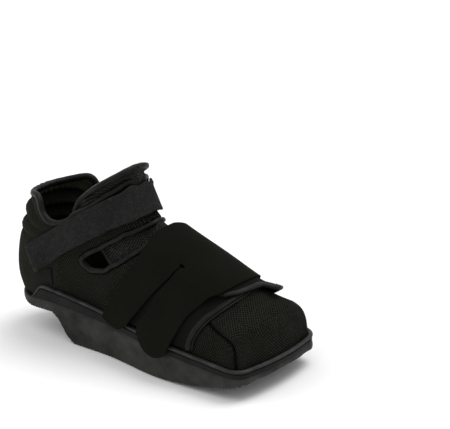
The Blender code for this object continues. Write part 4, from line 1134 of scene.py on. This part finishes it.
def cup_profile(x):
    """Rows of the sole's wall as inset and height, with the material of the strip above each."""
    under = sole_under(x) + TREAD_DEEP * (0.5 - 0.5 * np.cos(2 * np.pi * x / TREAD_PITCH))
    base = base_top(x)
    rim = rim_top(x)
    tall = np.clip((rim - base) / 0.008, 0, 1)
    bead = BEAD_TALL * tall
    rows = [(FLOOR_INSET + 0 * x, under, 0)]
    for turn in np.linspace(0, np.pi / 2, 4)[1:]:
        rows.append((FLOOR_INSET * (1 - np.sin(turn)) + 0 * x,
                     under + BASE_ROUND * (1 - np.cos(turn)), 0))
    low = under + BASE_ROUND
    for share in np.linspace(0, 1, 9)[1:-1]:
        swell = 0.0005 * np.sin(np.pi * share) * np.clip((base - low) / 0.02, 0, 1)
        rows.append((-swell, low + (base - 0.0010 - low) * share, 0))
    rows.append((0.0001 * tall, base - 0.0010, 0))
    rows.append((LEDGE * tall * 0.85, base - 0.0003, 0))
    rows.append((LEDGE * tall, base + 0.0002 * tall, 1))
    for share in (0.25, 0.5, 0.75):
        rows.append((0.0004 * tall, base + (rim - bead - base) * share, 1))
    rows.append((0.0002 * tall, rim - bead - 0.0001, 1))
    rows.append((GROOVE_DEEP * 0.7 * tall, rim - bead * 0.93, 1))
    rows.append((GROOVE_DEEP * tall, rim - bead * 0.84, 1))
    rows.append((GROOVE_DEEP * 0.7 * tall, rim - bead * 0.76, 2))
    centre = BEAD_OUT + 0.0005
    for turn in np.linspace(-0.30 * np.pi, 0.62 * np.pi, 9):
        rows.append((centre * tall - (BEAD_OUT * 2 + 0.0005) * np.cos(turn) * tall + 0.0004,
                     rim - bead * 0.36 + bead * 0.36 * np.sin(turn), 2))
    rows.append((CUP_WALL * 0.72 + 0 * x, rim - 0.0002 * tall, 2))
    rows.append((CUP_WALL + 0 * x, rim - 0.0012 * tall - 0.0001, 0))
    rows.append((CUP_WALL + 0 * x, base, 0))
    return rows


def add_cap(bm, ring, half, count, along=None):
    """Grid of faces inside a ring, with rungs from its lateral to its medial side."""
    across = np.linspace(0, 1, count)
    lateral = ring[:half]
    medial = ring[::-1][:half]
    rungs = lateral[:, None] + (medial - lateral)[:, None] * across[None, :, None]
    cap = loft(rungs[1:-1] - MIDDLE, along, across)
    mesh = bpy.data.meshes.new("cap")
    cap.to_mesh(mesh)
    cap.free()
    bm.from_mesh(mesh)
    bpy.data.meshes.remove(mesh)


def build_sole():
    """Wedge, step, rocker and cup wall with its bead, grooves, strip and ribbed tread."""
    edge = half_outline(40, 330, 22, 34)
    x, y = edge[:, 0], edge[:, 1]
    arc = lengths(edge)
    _, _, out_x, out_y = edge_at(arc / arc[-1])
    rows = cup_profile(x)
    rings = [outer_ring(x, y, out_x, out_y, inset, z) for inset, z, _ in rows]
    around = np.concatenate([arc, 2 * arc[-1] - arc[::-1][1:]])
    up = lengths(np.array([(inset[len(x) // 2], z[len(x) // 2]) for inset, z, _ in rows]))
    bm = loft(np.stack(rings, 1) - MIDDLE, around, up)
    bands = [kind for _, _, kind in rows]
    layer = bm.verts.layers.float_vector["edge"]
    for face in bm.faces:
        height = sum(vertex[layer].y for vertex in face.verts) / len(face.verts)
        face.material_index = bands[int(np.searchsorted(up, height)) - 1]
    for ring in (rings[0], rings[-1]):
        add_cap(bm, ring, len(x), 13, arc[1:-1])
    bm = close_up(bm)
    item = piece("moulded_sole", bm, marbled_rubber(), hatched_rubber(), rim_rubber())
    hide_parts("sole")


def rim_stitches():
    """Row of stitches in the groove under the bead, all round the cup."""
    edge = half_outline(60, 330, 22, 34)
    x, y = edge[:, 0], edge[:, 1]
    arc = lengths(edge)
    _, _, out_x, out_y = edge_at(arc / arc[-1])
    tall = np.clip((rim_top(x) - base_top(x)) / 0.008, 0, 1)
    z = rim_top(x) - BEAD_TALL * 0.84 * tall
    ring = outer_ring(x, y, out_x, out_y, GROOVE_DEEP - 0.0002 + 0 * x, z)
    ring = even(ring, STITCH_PITCH / 4)
    bm = bmesh.new()
    for i in range(0, len(ring) - 3, 4):
        if ring[i, 0] > RIM_STITCH_FROM:
            bead_between(bm, ring[i] - MIDDLE, ring[i + 3] - MIDDLE, THREAD)
    item = piece("rim_stitches", bm, thread_and_shadow_strip("rim_thread", (0.010, 0.010, 0.010)))


def build_insole():
    """Thin padded footbed with a crowned top."""
    steps = np.linspace(0, 1, 140)
    x, y, out_x, out_y = edge_at(steps)
    inset = smooth(SKIN_INSET["share"], SKIN_INSET["inset"], steps) + UPPER_WALL + 4 * FIT
    bottom = base_top(x) + LIP + FIT
    rows = [(inset + 0.001, bottom), (inset, bottom + 0.001)]
    for turn in np.linspace(0, np.pi / 2, 5):
        rows.append((inset + 0.0018 * (1 - np.cos(turn)),
                     bottom + INSOLE_THICK - 0.0018 * (1 - np.sin(turn))))
    rings = [outer_ring(x, y, out_x, out_y, inward, z) for inward, z in rows]
    bm = loft(np.stack(rings, 1) - MIDDLE)
    for ring in (rings[0], rings[-1]):
        add_cap(bm, ring, len(x), 17)
    item = piece("footbed", close_up(bm),
                 smooth_cloth("footbed_cloth", (0.006, 0.006, 0.0055), (0.014, 0.014, 0.013)))
    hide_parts("insole")


def rectangle(s, v):
    """Closed line round a span of shares, with points at even steps."""
    corners = np.array([(s[0], v[0]), (s[1], v[0]), (s[1], v[1]), (s[0], v[1])])
    return even(corners, OUTLINE_STEP, True, (SHEET_LONG, SHEET_TALL))


def outline(table):
    """Closed outline through a table, with points at even steps."""
    return even(table_line(table, 16, True), OUTLINE_STEP, True, (SHEET_LONG, SHEET_TALL))


def open_line(line, step=0.0008):
    """Line of shares with points at even steps."""
    return even(line, step, False, (SHEET_LONG, SHEET_TALL))


def build_upper(knit):
    """Hollow padded shell, open at the collar, the slits, the throat and below."""
    collar = open_line(table_line(COLLAR), OUTLINE_STEP)
    above = np.concatenate([collar, [[COLLAR["s"][-1], 1.2], [COLLAR["s"][0], 1.2]]])
    slit = spline((ARM_EDGE["s"] + SLIT_EDGE["s"], ARM_EDGE["v"] + SLIT_EDGE["v"]), 16)
    throat = table_line(THROAT_EDGE)
    opening = open_line(np.concatenate([slit, throat]), OUTLINE_STEP)
    bm = pattern_piece("upper", rectangle((0, 1), (0, 1)), (above, opening))
    gridded(bm, *UPPER_CELL)
    two_faced(bm, True)
    foot = np.stack([np.linspace(0, 1, 300), np.zeros(300)], 1)
    lay(bm, level(-UPPER_WALL), UPPER_WALL, (collar, opening, foot), 0.0017, seam=True)
    item = piece("soft_upper", whole_from_half(bm), knit)
    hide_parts("upper")


def tongue_height(s, v):
    """Height of the tongue's inner face, which leans out where nothing lies over it."""
    free = smooth(TONGUE_LEAN_FADE, (0, 1), v) * smooth(TONGUE_LEAN["s"], TONGUE_LEAN["h"], s)
    return smooth(TONGUE_RISE["v"], TONGUE_RISE["h"], v) + free


def build_tongue(knit):
    """Thick padded tongue inside the throat, standing up over the ankle."""
    line = open_line(table_line(TONGUE_EDGE), OUTLINE_STEP)
    inside = line[line[:, 1] < 1.0]
    keep = np.concatenate([[[inside[0, 0], 1.0]], inside, [[inside[-1, 0], 1.0]]])
    keep = even(keep, OUTLINE_STEP, True, (SHEET_LONG, SHEET_TALL))
    bm = pattern_piece("tongue", keep)
    gridded(bm, *PAD_CELL)
    two_faced(bm, True)
    lay(bm, tongue_height, TONGUE_THICK, (inside,), 0.0028, cloth_place=tongue_cloth,
        bulge=lambda gap, run: -0.0007 * np.exp(-((gap - 0.0062) / 0.0010) ** 2))
    item = piece("padded_tongue", whole_from_half(bm), knit)
    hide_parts("tongue")


def hook(s, v):
    """Lift of the medial flap at its front corner, which stands off the toe box."""
    near = np.clip(1 - np.abs(v - HOOK_V) / HOOK_REACH_V, 0, 1)
    return HOOK_LIFT * near * np.clip((s - HOOK_S) / HOOK_REACH_S, 0, 1)


def medial_height(s, v):
    """Height of the medial flap's inner face."""
    return rise(MEDIAL_RISE)(s, v) + hook(s, v)


def build_flaps(cloth):
    """Lateral flap and the medial flap that is laid over it."""
    for name, node_name, table, low in (
            ("lateral_wing", "lateral_flap", LATERAL_FLAP, level(FIT)),
            ("medial_wing", "medial_flap", MEDIAL_FLAP, medial_height)):
        line = outline(table)
        bm = pattern_piece(name, line)
        gridded(bm, *PAD_CELL)
        two_faced(bm, False)
        edge = np.concatenate([line, line[:1]])
        lay(bm, low, FLAP_THICK, (edge,), 0.0013)
        item = piece(name, bm, cloth)
        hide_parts(node_name)


def build_closure(cloth):
    """Broad forefoot closure with two hook tabs and the slot between them."""
    middle = spline((TAB_SLOT["s"], TAB_SLOT["v"], TAB_SLOT["half"]), 12)
    slot = np.concatenate([middle[:, :2] + middle[:, 2:] * [1, 0],
                           middle[::-1, :2] - middle[::-1, 2:] * [1, 0]])
    slot = even(slot, OUTLINE_STEP / 2, True, (SHEET_LONG, SHEET_TALL))
    turn = np.linspace(0, 2 * np.pi, 25)[:-1]
    ring = np.stack([TAB_SLOT["s"][0] + SLOT_ROUND / SHEET_LONG * np.cos(turn),
                     TAB_SLOT["v"][0] + SLOT_ROUND / SHEET_TALL * np.sin(turn)], 1)
    line = outline(CLOSURE)
    bm = pattern_piece("closure", line, (slot, ring))
    gridded(bm, *SHEET_CELL)
    two_faced(bm, False)
    rims = [np.concatenate([edge, edge[:1]]) for edge in (line, slot, ring)]
    lay(bm, rise(CLOSURE_RISE), CLOSURE_THICK, rims, 0.0010)
    item = piece("forefoot_closure", bm, cloth)
    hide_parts("closure")


def strap_line():
    """Closed outline of the ankle strap over both sides."""
    low = table_line(STRAP_LOW)
    high = table_line(STRAP_HIGH)
    far_low = [(s, 2 - v) for s, v in low[-2::-1] if s > STRAP_ANCHOR_S + 0.03]
    far_high = [(s, 2 - v) for s, v in high[-2::-1] if s > STRAP_ANCHOR_S]
    line = np.array([*low, *far_low, *far_high[::-1], *high[::-1]])
    return even(line, OUTLINE_STEP, True, (SHEET_LONG, SHEET_TALL))


def build_strap():
    """Wide strap over the front of the ankle to the lateral heel."""
    line = strap_line()
    bm = pattern_piece("strap", line)
    gridded(bm, *SHEET_CELL)
    two_faced(bm, False)
    both = dict(v=STRAP_RISE["v"] + tuple(2 - v for v in STRAP_RISE["v"][-2::-1]),
                h=STRAP_RISE["h"] + STRAP_RISE["h"][-2::-1])
    lay(bm, rise(both), STRAP_THICK, (np.concatenate([line, line[:1]]),), 0.0011)
    item = piece("ankle_webbing", bm, pile_webbing())
    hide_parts("ankle_strap")


def build_tape():
    """Narrow tape down the seam of the heel counter."""
    line = even(np.stack([TAPE["s"], TAPE["v"]], 1), OUTLINE_STEP, True, (SHEET_LONG, SHEET_TALL))
    bm = pattern_piece("tape", line)
    gridded(bm, *TAPE_CELL)
    two_faced(bm, False)
    lay(bm, level(FIT), TAPE_THICK, (np.concatenate([line, line[:1]]),), 0.0006)
    item = piece("seam_tape", bm, satin_tape("seam_tape_weave", (0.0035, 0.0035, 0.0034),
                                             (0.0085, 0.0085, 0.0080), 0.75, 0.08))
    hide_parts("heel_tape")


def both_sides(line):
    """Line that stops at the ridge, carried on down the medial side."""
    return np.concatenate([line, np.stack([line[-2::-1, 0], 2 - line[-2::-1, 1]], 1)])


def hem_line(table, rows):
    """Front edge of a flap, the first rows of its table."""
    return open_line(table_line(dict(s=table["s"][:rows], v=table["v"][:rows])))


def build_bindings():
    """Folded bindings of the collar, the slits, the tongue and the flaps' front edges."""
    tape = satin_tape("binding_satin", (0.0021, 0.0022, 0.0019), (0.0078, 0.0079, 0.0072), 0.48, 0.13)
    thread = thread_and_shadow_strip("dark_thread", (0.016, 0.016, 0.015))
    collar = table_line(dict(s=COLLAR["s"][1:-1], v=COLLAR["v"][1:-1]))
    collar = open_line(both_sides(collar))[:-1]
    item = piece("collar_roll", soft_strip(collar, **COLLAR_ROLL, closed=True, pucker=0.03,
                                           square=0.7), tape)
    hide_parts("collar_binding")

    arm = spline((ARM_EDGE["s"][1:] + SLIT_EDGE["s"], ARM_EDGE["v"][1:] + SLIT_EDGE["v"]), 16)
    arm = open_line(both_sides(arm[::-1]))
    item = piece("slit_roll", soft_strip(arm, **SLIT_ROLL, pucker=0.05, ends=0.004,
                                         square=0.75), tape)
    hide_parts("slit_binding")

    tongue = table_line(TONGUE_EDGE)
    tongue = tongue[(tongue[:, 1] <= 1.0)]
    tongue = open_line(both_sides(tongue))[:-1]
    band = soft_strip(tongue, **TONGUE_BAND, closed=True, pucker=0.03, square=0.6,
                      extra=lambda s, v: tongue_height(s, np.where(v > 1, 2 - v, v)))
    item = piece("tongue_band", band, tape)

    wing = hem_line(LATERAL_FLAP, WING_FRONT)
    item = piece("wing_band", soft_strip(wing, **WING_BAND, pucker=0.04, ends=0.002,
                                         square=0.55), tape)
    item = piece("wing_piping", soft_strip(wing, **WING_PIPING, pucker=0.05, ends=0.002), tape)
    front = hem_line(MEDIAL_FLAP, HOOK_FRONT)
    item = piece("hook_band", soft_strip(front, **HOOK_BAND, pucker=0.04, ends=0.002, square=0.55,
                                         extra=medial_height), tape)
    stitched("wing_stitches", "lateral_flap", thread,
             beside(wing, FIT + FLAP_THICK, -0.0064)[0])
    stitched("hook_stitches", "medial_flap", thread,
             beside(front, FLAP_THICK, -0.0056, extra=medial_height)[0])

    low = open_line(spline((SLIT_EDGE["s"][1:], SLIT_EDGE["v"][1:]), 16))
    row = beside(low, 0.0001, 0.0018)[0]
    stitched("slit_stitches", "slit_binding", thread, row, row * (1, -1, 1))


def build_small_tapes():
    """Loop end of the slit's tape, stitches of the heel tape and a dark strip of painted shadow along
    the toe seam.
    """
    tape = satin_tape("loop_satin", (0.0016, 0.0017, 0.0014), (0.0062, 0.0063, 0.0056), 0.5, 0.11)
    thread = thread_and_shadow_strip("tape_thread", (0.020, 0.020, 0.019))
    turn = np.linspace(0, 2 * np.pi, 41)[:-1]
    place = np.array(LOOP_PLACE)
    ring = place + np.stack([np.cos(turn) * LOOP_HALF / SHEET_LONG,
                             np.sin(turn) * LOOP_HALF / SHEET_TALL], 1)
    item = piece("slit_loop", soft_strip(ring, **LOOP_TUBE, closed=True), tape)
    s0, s1, s2, s3 = TAPE["s"]
    v0, v1, v2, v3 = TAPE["v"]
    rows = []
    for share in (0.16, 0.84):
        ends = np.array([(s0 + (s1 - s0) * share, v0 + (v1 - v0) * share),
                         (s3 + (s2 - s3) * share, v3 + (v2 - v3) * share)])
        rows.append(beside(open_line(ends), FIT + TAPE_THICK, 0.0)[0])
    stitched("tape_stitches", "heel_tape", thread, *rows)
    # dark strip of painted shadow, sunk along the toe seam's groove
    seam = open_line(table_line(TOE_SEAM))
    line = piece("toe_seam_shadow", soft_strip(seam, **SEAM_SHADOW_STRIP, ends=0.003),
                 thread_and_shadow_strip("seam_shadow", (0.0012, 0.0012, 0.0010)))


def build_strap_end():
    """Pale cut edge of the ankle strap with loose threads."""
    rng = np.random.default_rng(7)
    corners = np.array([(edge["s"][0], edge["v"][0]) for edge in (STRAP_LOW, STRAP_HIGH)])
    line = open_line(corners, 0.0004)
    above = rise(STRAP_RISE)
    edge, out, away = beside(line, STRAP_THICK / 2, 0.0, extra=above)
    ahead = -away if (away[0] @ (-1.0, 0.0, 0.0)) < 0 else away
    bm = soft_strip(line, **STRAP_EDGE, extra=above, ends=0.001)
    for _ in range(STRAP_THREADS):
        i = int(rng.integers(len(edge)))
        start = edge[i] + out[i] * rng.uniform(-0.3, 0.45) * STRAP_THICK - MIDDLE
        spread = ahead[i] + out[i] * rng.normal(0, 0.35) + (edge[-1] - edge[0]) * rng.normal(0, 6)
        end = start + spread / np.linalg.norm(spread) * rng.uniform(*STRAP_THREAD_LONG)
        bead_between(bm, start, end, STRAP_THREAD_THICK)
    for share in SEWN_PLACES:
        i = int(share * (len(edge) - 1))
        for _ in range(SEWN_THREADS):
            start = edge[i] - ahead[i] * rng.uniform(0.001, 0.005) + out[i] * STRAP_THICK * 0.5 - MIDDLE
            end = start + out[i] * rng.uniform(0.0002, 0.0007) + rng.normal(0, 0.0006, 3)
            bead_between(bm, start, end, SEWN_THREAD_THICK)
    item = piece("strap_end", bm, thread_and_shadow_strip("pale_thread", (0.11, 0.11, 0.105)))


def stage_floor():
    """Plain white floor and surroundings, with soft studio light."""
    bpy.ops.mesh.primitive_plane_add(size=12)
    floor = bpy.context.object
    floor.name = "studio_floor"
    material, tree, shader = finish_of("studio_white", 0.9, 0.0)
    shader.inputs["Base Color"].default_value = (0.93, 0.93, 0.93, 1)
    floor.data.materials.append(material)
    world = bpy.data.worlds.new("studio")
    bpy.context.scene.world = world
    world.use_nodes = True
    back = world.node_tree.nodes["Background"]
    back.inputs["Color"].default_value = (1, 1, 1, 1)
    back.inputs["Strength"].default_value = WORLD_LIGHT
    sun = bpy.data.lights.new("high_light", "SUN")
    sun.energy = SUN_POWER
    sun.angle = SUN_SOFT
    item = bpy.data.objects.new("high_light", sun)
    item.rotation_euler = (-Vector(SUN_FROM)).to_track_quat("-Z", "Y").to_euler()
    bpy.context.scene.collection.objects.link(item)
    for name, place, size, power in SOFT_BOXES:
        lamp = bpy.data.lights.new(name, "AREA")
        lamp.shape = "DISK"
        lamp.size = size
        lamp.energy = power
        item = bpy.data.objects.new(name, lamp)
        item.location = place
        aim = Vector((0, 0, 0.06)) - Vector(place)
        item.rotation_euler = aim.to_track_quat("-Z", "Y").to_euler()
        bpy.context.scene.collection.objects.link(item)


def build_camera():
    """Camera at the picture's place, with its slight roll."""
    right = Vector((math.cos(LOOK_TURN), math.sin(LOOK_TURN), 0))
    back = Vector((math.sin(LOOK_TURN) * math.cos(LOOK_DOWN),
                   -math.cos(LOOK_TURN) * math.cos(LOOK_DOWN), math.sin(LOOK_DOWN)))
    up = back.cross(right)
    turned = Matrix((right, up, back)).transposed() @ Matrix.Rotation(LOOK_ROLL, 3, "Z")
    lens = bpy.data.cameras.new("camera")
    lens.lens = LENS
    lens.sensor_width = SENSOR
    lens.sensor_fit = "HORIZONTAL"
    item = bpy.data.objects.new("camera", lens)
    item.matrix_world = Matrix.Translation(CAMERA_PLACE) @ turned.to_4x4()
    bpy.context.scene.collection.objects.link(item)
    bpy.context.scene.camera = item


bpy.context.scene.view_settings.view_transform = "Standard"
build_camera()
stage_floor()
TOE_KNIT = spacer_mesh("upper_knit", (0.0190, 0.0190, 0.0140), (0.0005, 0.0005, 0.0004), 0.0020,
                       flat_top=True)
TONGUE_KNIT = spacer_mesh("tongue_knit", (0.036, 0.035, 0.031), (0.004, 0.004, 0.0036), 0.0014)
STRETCH = smooth_cloth("stretch_cloth", (0.0042, 0.0046, 0.0030), (0.0066, 0.0070, 0.0048))
WING_CLOTH = smooth_cloth("wing_cloth", (0.0036, 0.0036, 0.0030), (0.0080, 0.0078, 0.0066), 600)
build_sole()
rim_stitches()
build_insole()
build_upper(TOE_KNIT)
build_tongue(TONGUE_KNIT)
build_flaps(WING_CLOTH)
build_closure(STRETCH)
build_strap()
build_tape()
build_bindings()
build_small_tapes()
build_strap_end()
